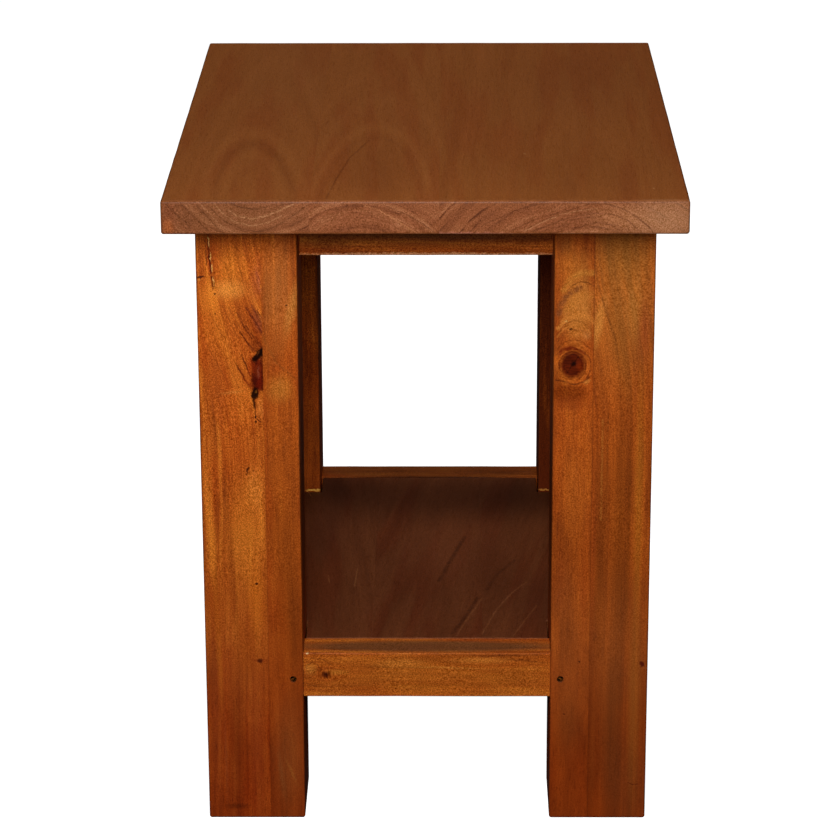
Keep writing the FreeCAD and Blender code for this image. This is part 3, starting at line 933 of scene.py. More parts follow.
def model_leg(sizes):
    """The front left leg as one mortised blank."""
    low, high = leg_box("front", "left")
    leg = block("leg_blank", low, high)

    def upright(first, second):
        return abs(first.z - second.z) > MILLIMETRE

    def round_foot(first, second):
        return max(first.z, second.z) < low.z + MILLIMETRE

    bevel_edges(leg, sizes.leg_arris, ROUNDED, upright)
    bevel_edges(leg, sizes.foot_chamfer, CHAMFERED, round_foot)
    divide_along(leg, 2, sizes.sanding_step)
    wave_arrises(leg, low, high, sizes.sanding_wave, LEG_WAVE_SEED)
    for cutter in apron_mortises(sizes, high) + rail_mortises(sizes, high):
        combine(leg, cutter, "DIFFERENCE")
    spread, height, outer = pin_places()
    depth = 2 * (sizes.pin_length + low.y + outer + MILLIMETRE)
    hole = rod("pin_hole", (-spread, low.y, height), sizes.pin_hole_diameter / 2, depth)
    combine(leg, hole, "DIFFERENCE")
    return leg


def front_left_outer():
    """The front left leg's outer stave: a crack at the top and two knots that meet the glue line."""
    tones = [
        spot((-147.5, 515), (6, 22), "#9a4a2c", 0.35, 8),
        spot((-159, 456), (9, 34), "#b04a14", 0.45, -22),
        spot((-149, 470), (7, 27), "#94390c", 0.70, -15),
        spot((-146.5, 478), (4.5, 13), "#7c3a28", 0.50, -18),
        spot((-146, 456), (5, 11), "#7d2c08", 0.60, -25),
        spot((-170, 524), (14, 22), "#de8428", 0.35),
        spot((-172, 507), (16, 9), "#f29a40", 0.55),
        spot((-189, 500), (9, 18), "#f08a2c", 0.50),
        spot((-184, 472), (9, 30), "#e47e24", 0.35, -10),
        spot((-153, 322), (9, 20), "#ea8a34", 0.55),
        spot((-162, 280), (16, 60), "#e08028", 0.55),
        spot((-153, 215), (8, 36), "#d8701c", 0.55),
        spot((-184, 420), (8, 60), "#c06422", 0.3),
        spot((-172, 160), (34, 60), "#dc8038", 0.12),
        stroke((-196, 350), (-189.5, 220), 4.4, "#f08a2c", 0.70, 0.9),
        stroke((-190.5, 250), (-186, 110), 2.8, "#dc7420", 0.50, 0.9),
        spot((-190, 205), (8, 44), "#a4450e", 0.45),
        spot((-161, 168), (13, 30), "#a2480f", 0.40),
        stroke((-199, 330), (-195.5, 90), 1.8, "#8f3a12", 0.40, 0.9),
        stroke((-176, 300), (-170, 160), 3.0, "#8c3a0e", 0.45, 0.9),
        stroke((-168, 240), (-166, 100), 2.2, "#b45018", 0.40, 0.9),
        stroke((-184, 110), (-183, 10), 1.6, "#a04620", 0.50, 0.9),
        spot((-173, 80), (9, 90), "#6e2c10", 0.45),
        spot((-155, 75), (8, 70), "#963c18", 0.50),
        spot((-192, 100), (7, 110), "#8a3c1c", 0.30),
        spot((-174, 12), (12, 3), "#3d1406", 0.45),
    ]
    fibres = [
        curve(((-156.5, 490.3), (-149.8, 479.2), (-143, 467.5)), 0.8, "#5a2010", 0.75),
        curve(((-151.6, 492.4), (-146.2, 482.1), (-142, 472.6)), 0.7, "#5e2818", 0.65),
        curve(((-147.5, 488.1), (-141.9, 479.2)), 0.6, "#5e2818", 0.60),
        curve(((-165.1, 486.6), (-159.7, 474.8), (-151.5, 461.5), (-144.6, 454.2)), 0.7, "#5c2008", 0.70),
        curve(((-162.7, 469.0), (-157.1, 460.1), (-149.6, 450.5)), 0.7, "#501a06", 0.75),
        curve(((-168.1, 477.8), (-159.9, 464.5), (-152.4, 452.0)), 0.6, "#6a280c", 0.65),
        curve(((-172.0, 491.0), (-165.3, 477.8), (-158.5, 466.0)), 0.6, "#7a3410", 0.50),
        curve(((-157.6, 474.8), (-150.1, 463.0), (-143.2, 454.2)), 0.6, "#501a06", 0.70),
        curve(((-177.6, 492.5), (-170.9, 477.8), (-164.2, 463.0)), 0.6, "#8a3e12", 0.45),
        curve(((-188.9, 486.6), (-178.2, 466.0), (-171.4, 454.2)), 0.6, "#8a3e12", 0.45),
        curve(((-192.4, 457.2), (-183.0, 439.4), (-174.2, 421.6)), 0.6, "#8a3e12", 0.45),
        curve(((-184.6, 461.1), (-175, 440), (-164.5, 416.8)), 0.6, "#8a3a10", 0.45),
        curve(((-166.1, 437.9), (-160.0, 426.1), (-153.1, 416.4)), 0.8, "#5a1e08", 0.75),
        curve(((-161.7, 447.6), (-156.9, 435.0), (-153.0, 423.8)), 0.7, "#5a1e08", 0.70),
        curve(((-162.2, 526.7), (-154.0, 504.9)), 0.5, "#8a3c0e", 0.45),
        curve(((-175.2, 532.1), (-166.2, 504.9)), 0.5, "#8a3c0e", 0.45),
        curve(((-156.7, 542.9), (-148.5, 520.3)), 0.5, "#8a3c0e", 0.45),
        stroke((-167.3, 440.9), (-154.4, 415.9), 1.0, "#5a1a06", 0.60),
        stroke((-161.7, 449.1), (-152.9, 425.2), 0.7, "#4a1606", 0.60),
        stroke((-147.5, 526.7), (-143.6, 501.3), 1.6, "#8f4030", 0.40),
        stroke((-182.3, 411.3), (-158.4, 414.0), 1.6, "#d68a3c", 0.30, 0.9),
    ]
    # The golden strokes along the crack and beside the split across it are painted highlights on their edges
    crack = [
        curve(((-191.8, 562), (-191.0, 550), (-190.2, 530)), 0.5, "#4a1608", 0.80),
        curve(((-189.1, 562), (-188.7, 550), (-188.1, 538), (-186.7, 526), (-185.4, 508)), 0.9,
              "#5a1a08", 0.95),
        curve(((-184.6, 521), (-183.6, 508)), 0.4, "#5a1a08", 0.80),
        stroke((-188.4, 556), (-187.9, 545), 0.5, GLINT, 0.80),
        stroke((-187.3, 541), (-186.6, 533), 0.5, GLINT, 0.80),
        stroke((-185.9, 530), (-185.0, 523), 0.5, GLINT, 0.70),
        stroke((-184.9, 519), (-184.2, 510), 0.5, GLINT, 0.80),
        stroke((-200.5, 517.6), (-192.0, 519.3), 1.2, "#3a140a", 0.95),
        stroke((-199.1, 514.9), (-194.2, 516.7), 0.5, "#f2b04e", 0.40),
    ]
    knot = [
        spot((-147.4, 430.5), (6.6, 17.5), "#661604", 0.93, 3, 0.35),
        spot((-149.6, 420), (5.4, 9), "#5a1204", 0.85, 0, 0.5),
        spot((-150.4, 442), (3.2, 5), "#4a0e04", 0.70, 0, 0.7),
        spot((-146.0, 421), (4.4, 8), "#6a1604", 0.85, 0, 0.5),
        spot((-149.5, 455.5), (6.0, 5.0), "#8a3a10", 0.60, -30, 0.8),
        spot((-154.0, 438), (2.6, 9.0), "#a03008", 0.60, 0, 0.8),
        spot((-156.5, 424), (4.0, 12), "#a43e0e", 0.55, -18, 0.8),
        spot((-150.6, 423), (3.2, 7), "#420c02", 0.70, 0, 0.8),
        spot((-147.2, 431), (1.3, 6.0), "#94482e", 0.50, 0, 0.6),
        curve(((-152.2, 440), (-152.6, 430), (-151.8, 420)), 0.6, "#3c0a02", 0.60),
        spot((-151.6, 438), (1.6, 6.0), "#8a2a08", 0.60, 0, 0.7),
        curve(((-144.2, 444), (-143.9, 430), (-144.2, 414)), 0.8, "#4a1004", 0.70),
        stroke((-152.2, 440.5), (-141.0, 455.0), 3.0, KNOT_BLACK, 0.97, 0.4),
        spot((-143.4, 449.0), (3.0, 4.6), "#160400", 0.94, 0, 0.5),
        spot((-146.6, 449.2), (0.9, 2.4), "#6a3410", 0.60, 35, 0.7),
        spot((-150.7, 411.6), (3.3, 6.6), "#100200", 0.97, 8, 0.4),
        stroke((-151.8, 409), (-151.0, 396.5), 1.3, "#2a0a02", 0.85, 0.6),
        spot((-149.6, 413.6), (0.9, 1.8), "#8a5018", 0.60, 20, 0.7),
        spot((-146.1, 399.2), (3.4, 11.0), "#de7c30", 0.55, 0, 0.7),
        curve(((-151.0, 403.8), (-150.3, 394.5), (-150.4, 389), (-145.8, 385.2)), 0.6, "#4a1606", 0.75),
        spot((-150.5, 390.3), (1.1, 1.4), "#2a0d04", 0.90, 0, 0.5),
        spot((-150.2, 385.7), (1.0, 1.4), "#2a0d04", 0.90, 0, 0.5),
    ]
    flecks = [
        stroke((-157.7, 344.0), (-159.1, 334.5), 0.8, "#4a1606", 0.70),
        spot((-157.9, 341.6), (1.4, 2.7), "#3a1206", 0.85, 20, 0.5),
        spot((-153.0, 339.2), (0.7, 0.7), "#3a1206", 0.80, 0, 0.4),
        spot((-183.3, 503.4), (0.9, 1.1), SPECK, 0.90, 0, 0.4),
        spot((-183.6, 484.9), (0.8, 1.1), SPECK, 0.90, 0, 0.4),
        spot((-152.6, 231.8), (0.9, 1.3), SPECK, 0.95, 0, 0.4),
        spot((-150.9, 157.0), (7, 1.8), "#8a3010", 0.50, 0, 0.7),
        spot((-150.9, 157.0), (2.6, 2.2), "#4a1608", 0.85, 0, 0.6),
    ]
    return {
        "pith": (-262, -150, 0), "lean": (0.8, 0.8), "ring_gap": 4.5, "wander": 9, "foot": 1.0,
        "shade": 0.06, "line_depth": 0.18, "marks": tones + fibres + crack + knot + flecks,
        "sweeps": [((-146, LEG_FACE, 560), (60, 200, 110), (54, 0, 0))],
    }


def front_left_inner():
    """The front left leg's inner stave: smooth and even, browner lower down."""
    marks = [
        spot((-128, 505), (14, 50), "#b87a3a", 0.35),
        spot((-139, 500), (3.5, 45), "#8a4c20", 0.50),
        spot((-117, 490), (5, 26), "#cc9040", 0.35, 12),
        spot((-134, 450), (10, 18), "#9a541e", 0.30, 14),
        spot((-129, 416), (12, 14), "#d08430", 0.45, 14),
        curve(((-143, 465), (-131, 440), (-114, 425)), 1.2, "#8a4c1c", 0.35),
        spot((-126, 250), (12, 120), "#93440f", 0.45),
        spot((-118, 190), (7, 70), "#78340c", 0.40),
        spot((-126, 60), (15, 60), "#8a5428", 0.40),
        stroke((-128.8, 59.5), (-118.6, 33.5), 1.4, "#c0702e", 0.40, 0.9),
        stroke((-136, 70), (-130, 20), 2.4, "#9a5a2c", 0.35, 0.9),
        spot((-121.6, 493.0), (0.8, 0.8), SPECK, 0.9, 0, 0.4),
        patch((-112, -215, 290), (1.5, 45, 120), INNER_SHADOW, 0.70, 0, 0.6),
    ]
    return {
        "pith": (-60, -190, 0), "lean": (1.0, -0.5), "ring_gap": 6.0, "wander": 10, "foot": 0.9,
        "shade": -0.08, "line_depth": 0.06, "contrast": 0.7, "blush": 0.25, "sand": 2.2, "marks": marks,
    }


def front_right_inner():
    """The front right leg's inner stave: one round knot with arches over it."""
    tones = [
        spot((133, 490), (15, 34), "#ca8034", 0.65, 0, 0.7),
        spot((122, 225), (10, 34), "#7c3a1a", 0.40),
        spot((130, 530), (17, 18), "#c07428", 0.40),
        spot((121.9, 548), (8, 10), "#7a4a1c", 0.40),
        spot((130, 320), (13, 45), "#bf6420", 0.30),
        spot((141, 215), (4, 60), "#b04a14", 0.40),
        spot((129, 95), (13, 40), "#86441a", 0.40),
        spot((130, 165), (30, 70), "#b0703a", 0.14),
        spot((124, 412), (20, 9), "#782e06", 0.80, 0, 0.5),
        spot((127, 402), (17, 7), "#8b3910", 0.55, 0, 0.7),
        spot((117, 424), (6, 8), "#7a3208", 0.50, 0, 0.8),
    ]
    arches = [
        curve(((120.5, 506), (126.8, 517.5), (136, 522), (146.5, 522)), 2.6, "#c88030", 0.50),
        curve(((123.1, 487), (132.3, 500.3), (145.2, 502.2)), 3.2, "#c0742c", 0.55),
        curve(((115.9, 485), (118.6, 495.5), (125, 503.5), (134.2, 508.5)), 2.5, "#7c4220", 0.75),
        curve(((123.1, 506), (128.7, 511.6), (135.1, 514), (141.5, 513.2), (146.6, 510)), 0.5,
              "#5e2c0a", 0.75),
        curve(((119, 508), (128, 518), (137, 522), (144, 525.4)), 0.4, "#6e3810", 0.45),
        curve(((115.9, 472), (123.1, 481.3), (132.3, 484.7), (141.4, 482.2), (146.6, 477.5)), 2.2,
              "#cd7b31", 0.75),
        curve(((116, 467), (121, 475), (129, 479), (137, 477.5), (145, 471)), 0.5, "#7a3e10", 0.55),
        curve(((115, 459), (120, 466), (128, 470.5), (137, 469.5), (145, 462)), 0.6, "#7c3c10", 0.60),
        curve(((115, 464), (121, 471.5), (129, 475), (138, 473), (145, 467)), 0.8, "#c4742c", 0.45),
        curve(((114, 451), (121, 459), (129, 461.5), (137, 459.5), (145, 452)), 0.6, "#702e0a", 0.60),
    ]
    knot = [
        spot((129, 440), (17.5, 18), "#b4601e", 0.55, 0, 0.5),
        spot((115.5, 443), (4, 7), "#d86c1e", 0.60, 0, 0.8),
        curve(((113.9, 447.1), (119.5, 451.9), (128.7, 453.8), (137.9, 450.9), (144.3, 443.4),
               (144.8, 433.8), (141.5, 426.3)), 0.6, "#6a2a0c", 0.70),
        curve(((115.5, 444), (119, 450), (126, 453.5), (133, 452.5), (138, 448.5)), 1.3, "#6a1a06", 0.70),
        curve(((115.5, 438), (118, 446), (124, 451), (132, 451), (139, 446.5), (142, 439),
               (141, 431)), 0.6, "#d0661e", 0.55),
        curve(((117, 433), (116.8, 441), (120.5, 447.5), (128, 450.5), (136, 448), (140.5, 441),
               (140, 432), (135, 425.5)), 0.7, "#5c1c06", 0.75),
        spot((128.6, 438.2), (12.2, 13.8), "#541003", 0.94, 12, 0.35),
        spot((124.6, 442.5), (4, 5), "#330a02", 0.55, 0, 0.8),
        spot((123.6, 453.0), (8.0, 2.6), "#6e1c06", 0.70, -14, 0.7),
        arch((128.6, LEG_FACE, 438.6), (7.6, 5, 8.8), 0.10, "#2a0a04", 0.55, None),
        spot((134.6, 436.0), (2.6, 6.0), "#7c2703", 0.65, 0, 0.8),
        spot((129.6, 439.4), (2.8, 3.4), KNOT_BLACK, 0.92, 0, 0.7),
        curve(((124.0, 431.0), (129, 439), (134.0, 446.0)), 0.4, "#1c0603", 0.7),
        curve(((114, 424), (121, 423.0), (130, 420), (138, 422), (145, 428)), 0.7, "#4a1a08", 0.70),
        spot((141.3, 422.5), (3.9, 2.0), "#dc8c3c", 0.50, -30, 0.8),
        spot((140.7, 465.5), (3.9, 4.5), "#cc7e3c", 0.45),
        curve(((146.7, 562), (146.7, 515), (146.8, 478)), 0.5, "#4a200a", 0.50),
    ]
    flecks = [
        spot((127.1, 471.3), (1.4, 0.9), "#2a0d04", 0.90, 10, 0.5),
        spot((122.7, 478.3), (1.2, 0.7), "#e8c070", 0.40, 0, 0.5),
        spot((138.0, 156), (0.9, 0.9), SPECK, 0.8, 0, 0.4),
        spot((124.6, 104.4), (0.8, 1.0), SPECK, 0.8, 0, 0.4),
        patch((112, -215, 290), (1.5, 45, 120), INNER_SHADOW, 0.70, 0, 0.6),
    ]
    return {
        "pith": (131, -195, 0), "lean": (-3.0, 0.3), "ring_gap": 7.0, "wander": 7, "foot": 0.78,
        "shade": -0.12, "line_depth": 0.06, "contrast": 0.8, "seam_share": 0.2, "blush": 0.15,
        "sand": 2.0,
        "marks": tones + arches + knot + flecks,
        "sweeps": [((118, LEG_FACE, 440), (9, 60, 24), (8, 0, 0)),
                   ((140, LEG_FACE, 440), (9, 60, 24), (-8, 0, 0))],
    }


def front_right_outer():
    """The front right leg's outer stave: a long curved line and upright stripes."""
    marks = [
        spot((172, 500), (34, 80), "#b08038", 0.28),
        spot((172, 540), (30, 28), "#80521e", 0.55),
        stroke((160, 520), (180, 400), 8, "#92521a", 0.45, 0.9),
        spot((157, 270), (6, 110), "#8a4212", 0.45),
        spot((151, 476), (5, 24), "#d88c3c", 0.55, 10),
        spot((182, 490), (7, 30), "#c87c30", 0.35),
        spot((191, 468), (6, 30), "#9c401c", 0.45),
        spot((173, 290), (10, 110), "#84400f", 0.50),
        spot((189, 310), (4.5, 120), "#cf7a22", 0.40),
        spot((147.5, 250), (4, 90), "#b04a18", 0.40),
        stroke((181, 400), (180, 170), 1.6, "#7a3a0c", 0.45, 0.9),
        spot((168, 90), (12, 90), "#703a18", 0.50),
        spot((185, 30), (22, 60), "#8a4c24", 0.30),
        spot((172, 170), (40, 70), "#b0703a", 0.14),
        spot((188, 120), (6.0, 100), "#ba6a26", 0.45),
        stroke((151, 150), (151, 10), 3.0, "#a04a18", 0.40, 0.9),
        curve(((145.7, 562), (146.0, 545), (146.8, 531.9), (150.1, 511.1), (157.4, 486.5),
               (165.7, 462.8), (168.5, 444)), 0.9, "#603010", 0.50),
        curve(((168.5, 444), (171, 415), (173.0, 387.0)), 0.8, "#7a3a10", 0.35),
        curve(((181.5, 504.7), (188.1, 477.4)), 0.6, "#7a3c12", 0.35),
        curve(((160.8, 547.2), (165.7, 515.6)), 0.6, "#7a3c12", 0.30),
        curve(((160.6, 396.3), (160.4, 292.8)), 1.0, "#7a3a10", 0.40),
        curve(((155.9, 387.0), (155.6, 292.8)), 0.9, "#c87c30", 0.30),
        spot((194.8, 153.7), (2.4, 2.8), "#5a140a", 0.90, 0, 0.5),
        curve(((184, 36), (188, 34), (193, 34.5)), 0.4, "#5a140a", 0.70),
    ]
    return {
        "pith": (95, -170, 0), "lean": (0.5, 0.6), "ring_gap": 4.5, "wander": 9, "foot": 0.78,
        "marks": marks, "shade": -0.15, "line_depth": 0.10, "seam_share": 0.2, "blush": 0.08,
        "contrast": 0.64, "sand": 2.1,
        "sweeps": [((146, LEG_FACE, 560), (60, 200, 110), (28, 0, 0))],
    }


def leg_logs():
    """Where each stave of the legs lay in its log, and what its face shows, in millimetres."""
    # Painted highlights: bright lines on the rear legs' faces just above the shelf
    rear_left_painted_highlight = patch((-118, 174, 161.6), (9, 3, 1.5), "#ffba50", 1.0, 0, 0.5)
    rear_right_painted_highlight = patch((118, 174, 161.4), (9, 3, 1.0), "#d88c3c", 0.8, 0, 0.5)
    return {
        "leg_front_left_outer_stave": front_left_outer(),
        "leg_front_left_inner_stave": front_left_inner(),
        "leg_front_right_inner_stave": front_right_inner(),
        "leg_front_right_outer_stave": front_right_outer(),
        "leg_rear_left_outer_stave": {
            "pith": (-250, 330, 0), "lean": (0.8, -0.7), "ring_gap": 5.5, "wander": 12, "foot": 0.7},
        "leg_rear_left_inner_stave": {
            "pith": (-125, 130, 0), "lean": (1.5, 0.5), "ring_gap": 5.0, "wander": 10, "foot": 0.7,
            "shade": -0.15, "marks": [rear_left_painted_highlight]},
        "leg_rear_right_inner_stave": {
            "pith": (90, 120, 0), "lean": (1.0, -1.2), "ring_gap": 5.5, "wander": 10, "foot": 0.7,
            "shade": -0.6, "marks": [rear_right_painted_highlight]},
        "leg_rear_right_outer_stave": {
            "pith": (240, 300, 0), "lean": (-0.8, 0.9), "ring_gap": 4.5, "wander": 12, "foot": 0.7},
    }


def model_legs(sizes, colours):
    """Four legs from one mortised blank, each parted at its own glue line."""
    first = model_leg(sizes)
    logs = leg_logs()
    for end in ENDS:
        for hand in HANDS:
            blank = mirrored(first, "leg_blank_%s_%s" % (end, hand), hand == "right", end == "rear")
            glue_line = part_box("leg_%s_%s_inner_stave" % (end, hand))[0 if hand == "left" else 1][0]

            def stained(name):
                return wood(name + "_stained", colours, "leg", "z", seams=(glue_line / MILLIMETRE,),
                            **logs[name])

            staves = ["leg_%s_%s_%s_stave" % (end, hand, stave) for stave in ("outer", "inner")]
            part_at_glue_lines(blank, staves, "leg_wood", sizes.seam_ease, stained)
    bpy.data.objects.remove(first, do_unlink=True)


# Aprons and rails

def bar_blank(name, along, low, high, sizes, round_top):
    """A bar between two legs with its long arrises rounded."""
    bar = block(name, low, high)
    middle = (low[2] + high[2]) / 2

    def long_arris(first, second):
        runs = abs(first[along] - second[along]) > MILLIMETRE
        return runs and (round_top or first.z < middle)

    bevel_edges(bar, sizes.bar_arris, ROUNDED_SMALL, long_arris)
    divide_along(bar, along, sizes.sanding_step)
    wave_arrises(bar, low, high, sizes.sanding_wave, len(name))
    return bar


def between_legs(side):
    """The axis that a side's bars run along, and half of the gap between its legs."""
    along = 0 if side in ENDS else 1
    return along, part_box("leg_rear_right_inner_stave")[0][along]


def planed_bar(name, side, sizes, round_top):
    """The bar of a side between its legs: the piece, its corners and the middle of its thickness."""
    along, half = between_legs(side)
    low, high = (Vector(corner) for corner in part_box(name))
    low[along], high[along] = -half, half
    bar = bar_blank(name + "_planed", along, low, high, sizes, round_top)
    return bar, low, high, (low[1 - along] + high[1 - along]) / 2


def add_tenon(bar, along, centre, thickness, reach, heights):
    """Joins a tenon to a bar: its axis, middle and thickness, its two ends and its two heights."""
    start, end = Vector((0, 0, heights[0])), Vector((0, 0, heights[1]))
    start[1 - along], end[1 - along] = centre - thickness / 2, centre + thickness / 2
    start[along], end[along] = min(reach), max(reach)
    combine(bar, block("tenon", start, end), "UNION")


def finish_bar(bar, name, along, colours, log):
    """Gives an apron or a rail its wood."""
    settle(bar, "rail_wood", wood(name + "_stained", colours, "leg", "xy"[along], **log), name)


def model_apron(side, sizes, colours, log):
    """An apron with haunched tenons, mitred where they meet in the leg."""
    name = "apron_" + side
    along, half = between_legs(side)
    bar, low, high, centre = planed_bar(name, side, sizes, False)
    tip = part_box(name)[1][along]
    z_haunch = high.z - sizes.haunch_height
    for hand in (-1, 1):
        root = hand * (half - MILLIMETRE)
        add_tenon(bar, along, centre, sizes.apron_tenon_thickness, (root, hand * tip),
                  (low.z + sizes.apron_tenon_shoulder, z_haunch))
        add_tenon(bar, along, centre, sizes.apron_tenon_thickness,
                  (root, hand * (half + sizes.haunch_length)), (z_haunch - MILLIMETRE, high.z))
    outer = -1 if centre < 0 else 1
    for hand in (-1, 1):
        normal, place = Vector((0, 0, 0)), Vector((0, 0, 0))
        normal[along], normal[1 - along] = hand, -outer
        place[along] = hand * (tip - sizes.mitre_step)
        place[1 - along] = centre + outer * sizes.apron_tenon_thickness / 2
        sawn_at(bar, place, normal)
    finish_bar(bar, name, along, colours, log)


def model_rail(side, sizes, colours, log):
    """A rail of the shelf's frame with a shouldered tenon at each end."""
    name = "rail_" + side
    along = between_legs(side)[0]
    bar, low, high, centre = planed_bar(name, side, sizes, True)
    add_tenon(bar, along, centre, sizes.rail_tenon_thickness,
              (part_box(name)[0][along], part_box(name)[1][along]),
              (low.z + sizes.rail_tenon_shoulder, high.z - sizes.rail_tenon_shoulder))
    finish_bar(bar, name, along, colours, log)


def model_bars(sizes, colours):
    """All aprons and rails."""
    rail_marks = [
        spot((0, 140), (120, 26), "#cf7a26", 0.35, face=RAIL_FACE),
        # Painted shade: the rail's top face is drawn darker than its front face
        patch((0, -236, RAIL_TOP), (130, 14, 3), "#6e4528", 0.80, 0, 0.4),
        stroke((64, 155), (110, 150.5), 1.3, "#7a3810", 0.6, 0.8, RAIL_FACE),
        spot((82, 137), (36, 9), "#b05c1a", 0.35, face=RAIL_FACE),
        spot((50, 153), (26, 3.5), "#e88e36", 0.5, face=RAIL_FACE),
        spot((-25, 150), (24, 5), "#e88c34", 0.4, face=RAIL_FACE),
        stroke((-40, 127), (80, 130), 2.5, "#9a4c10", 0.4, 0.8, RAIL_FACE),
        stroke((-20, 147), (60, 144), 1.0, "#e09038", 0.4, 0.8, RAIL_FACE),
        spot((68, 157.5), (34, 1.4), "#5a260e", 0.6, face=RAIL_FACE),
        spot((-82, 141), (12, 3), "#dc8a30", 0.4, face=RAIL_FACE),
        curve(((-110, 143), (-108.5, 148.5), (-103.5, 151.2), (-98.5, 148.0), (-97, 142)), 0.5,
              "#5e260a", 0.7, RAIL_FACE),
        curve(((-111.5, 132), (-107, 128), (-98, 127.5)), 0.5, "#7a3a10", 0.5, RAIL_FACE),
        spot((-106, 144), (6, 6), "#e8963c", 0.45, face=RAIL_FACE),
        curve(((-111, 150), (-104, 155), (-94, 154), (-86, 148)), 0.5, "#6a2c0c", 0.55, RAIL_FACE),
        spot((-91.8, 139.2), (4.4, 3.4), "#5a1c08", 0.88, 0, 0.5, RAIL_FACE),
        spot((-91.8, 139.2), (2.0, 1.6), "#300e04", 0.8, 0, 0.6, RAIL_FACE),
        patch((-108.6, RAIL_FACE, 159.2), (1.0, 8, 0.7), "#ffdca0", 0.85, 0, 0.4),
    ]
    rail_sweeps = [((-91.8, RAIL_FACE, 145), (12, 40, 5), (0, 0, -4)),
                   ((-91.8, RAIL_FACE, 133), (12, 40, 5), (0, 0, 4))]
    aprons = {
        # On the front apron the dark band across its upper part is painted shade under the top, and the pale
        # line along its lower arris is a painted highlight
        "front": {"pith": (0, -150, 440), "lean": (0.5, 0.4), "marks": [
            patch((0, APRON_FACE, 545), (150, 3, 14), "#6a3e1e", 0.75),
            patch((-90, APRON_FACE, 536), (26, 3, 12), "#5a2c12", 0.45),
            patch((0, APRON_FACE, 523), (130, 3, 1.8), "#f0a468", 0.75, 0, 0.5)]},
        "rear": {"pith": (0, 260, 470), "lean": (0.7, -0.6)},
        "left": {"pith": (-70, 0, 460), "lean": (0.6, 0.5)},
        "right": {"pith": (190, 0, 450), "lean": (-0.7, 0.4)},
    }
    rails = {
        "front": {"pith": (-60, -160, 150), "lean": (1.0, 1.0), "ring_gap": 4.0, "wander": 7,
                  "marks": rail_marks, "sweeps": rail_sweeps, "shade": 0.13},
        # The rear rail's top is painted darker, as shade under the table top, deepest along its inner edge
        "rear": {"pith": (0, 190, 90), "lean": (0.7, -0.6), "marks": [
            patch((0, 236, RAIL_TOP), (150, 26, 4), "#4e2a12", 0.70, 0, 0.4),
            patch((0, 214, RAIL_TOP), (150, 5, 4), "#3a1c0e", 0.90, 0, 0.5)]},
        "left": {"pith": (-120, 0, 70), "lean": (0.6, 0.5)},
        "right": {"pith": (230, 0, 100), "lean": (-0.7, 0.4)},
    }
    for side in SIDES:
        model_apron(side, sizes, colours, aprons[side])
        model_rail(side, sizes, colours, rails[side])


# Shelf

def model_shelf(sizes, colours):
    """The shelf: a glued panel notched round the legs, then parted at its glue lines."""
    low, high = joined_box(SHELF_BOARDS)
    panel = block("shelf_blank", low, high)
    leg_low, leg_high = leg_box("rear", "right")
    clearance = sizes.notch_clearance
    for end in (-1, 1):
        for hand in (-1, 1):
            corner = (hand * (leg_low.x - clearance), end * (leg_low.y - clearance), low.z - MILLIMETRE)
            far = (hand * leg_high.x, end * leg_high.y, high.z + MILLIMETRE)
            combine(panel, block("notch", *box_round((corner, far))), "DIFFERENCE")

    def upper_edge(first, second):
        return min(first.z, second.z) > high.z - 0.1 * MILLIMETRE

    bevel_edges(panel, sizes.shelf_arris, ROUNDED_SMALL, upper_edge)
    logs = {
        "shelf_board_1": {"pith": (-115, 0, 240), "lean": (2.2, 2.0)},
        "shelf_board_2": {"pith": (10, 0, 235), "lean": (2.6, -7.0)},
        "shelf_board_3": {"pith": (110, 0, 60), "lean": (1.6, -9.0)},
    }
    marks = [
        patch((0, 160, SHELF_FACE), (190, 80, 9), SHELF_SHADOW, 0.60),
        patch((-100, 185, SHELF_FACE), (50, 60, 9), SHELF_SHADOW, 0.5),
        patch((100, 165, SHELF_FACE), (60, 70, 9), SHELF_SHADOW, 0.45),
        patch((30, 0, SHELF_FACE), (56, 90, 9), "#8c4a28", 0.50),
        patch((112, -130, SHELF_FACE), (42, 90, 9), "#562a18", 0.50),
        patch((-108, 60, SHELF_FACE), (26, 90, 9), "#54281a", 0.45),
        # A painted reflection: the pale strip along the shelf's left edge
        patch((-150, 50, SHELF_FACE), (14, 150, 6), "#8a5c42", 0.55),
        patch((-110, -150, SHELF_FACE), (45, 70, 9), "#5a2c16", 0.30),
        patch((55, -40, SHELF_FACE), (26, 90, 9), "#5a2a14", 0.45),
        flat_curve(((11, -75), (23, -16), (36, 43)), 2.0, "#33150a", 0.50, SHELF_FACE),
        flat_curve(((24, -205), (37, -160), (48, -116)), 1.8, "#33150a", 0.50, SHELF_FACE),
        flat_curve(((56, -100), (66, -60), (84, -20)), 1.8, "#3a190c", 0.35, SHELF_FACE),
        flat_curve(((27, -212), (40, -160), (52, -118)), 0.9, SHELF_SCRATCH, 0.60, SHELF_FACE),
        flat_curve(((50, -209), (65, -146), (81, -103), (94, -78)), 0.9, SHELF_SCRATCH, 0.65, SHELF_FACE),
        flat_curve(((79, -212), (92, -170), (103, -136)), 0.8, SHELF_SCRATCH, 0.50, SHELF_FACE),
        flat_curve(((-68, -40), (-70, -90)), 0.6, SHELF_FLECK, 0.45, SHELF_FACE),
        flat_curve(((-96, -60), (-94, -80)), 0.6, SHELF_FLECK, 0.50, SHELF_FACE),
        flat_curve(((-124, 172), (-121, 160)), 0.5, SHELF_FLECK, 0.45, SHELF_FACE),
    ]

    def stained(name):
        return wood(name + "_stained", colours, "shelf", "y", ring_gap=8.0, wander=16, line_depth=0.12,
                    contrast=0.55, sand=1.2, stretch=2.5, shine=0.12, marks=marks, **logs[name])

    part_at_glue_lines(panel, SHELF_BOARDS, "shelf_wood", sizes.seam_ease, stained)


# Hidden pieces and steel

def dress(node, material):
    """Gives a node of the frame its material."""
    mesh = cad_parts[node].data
    mesh.materials.clear()
    mesh.materials.append(material)


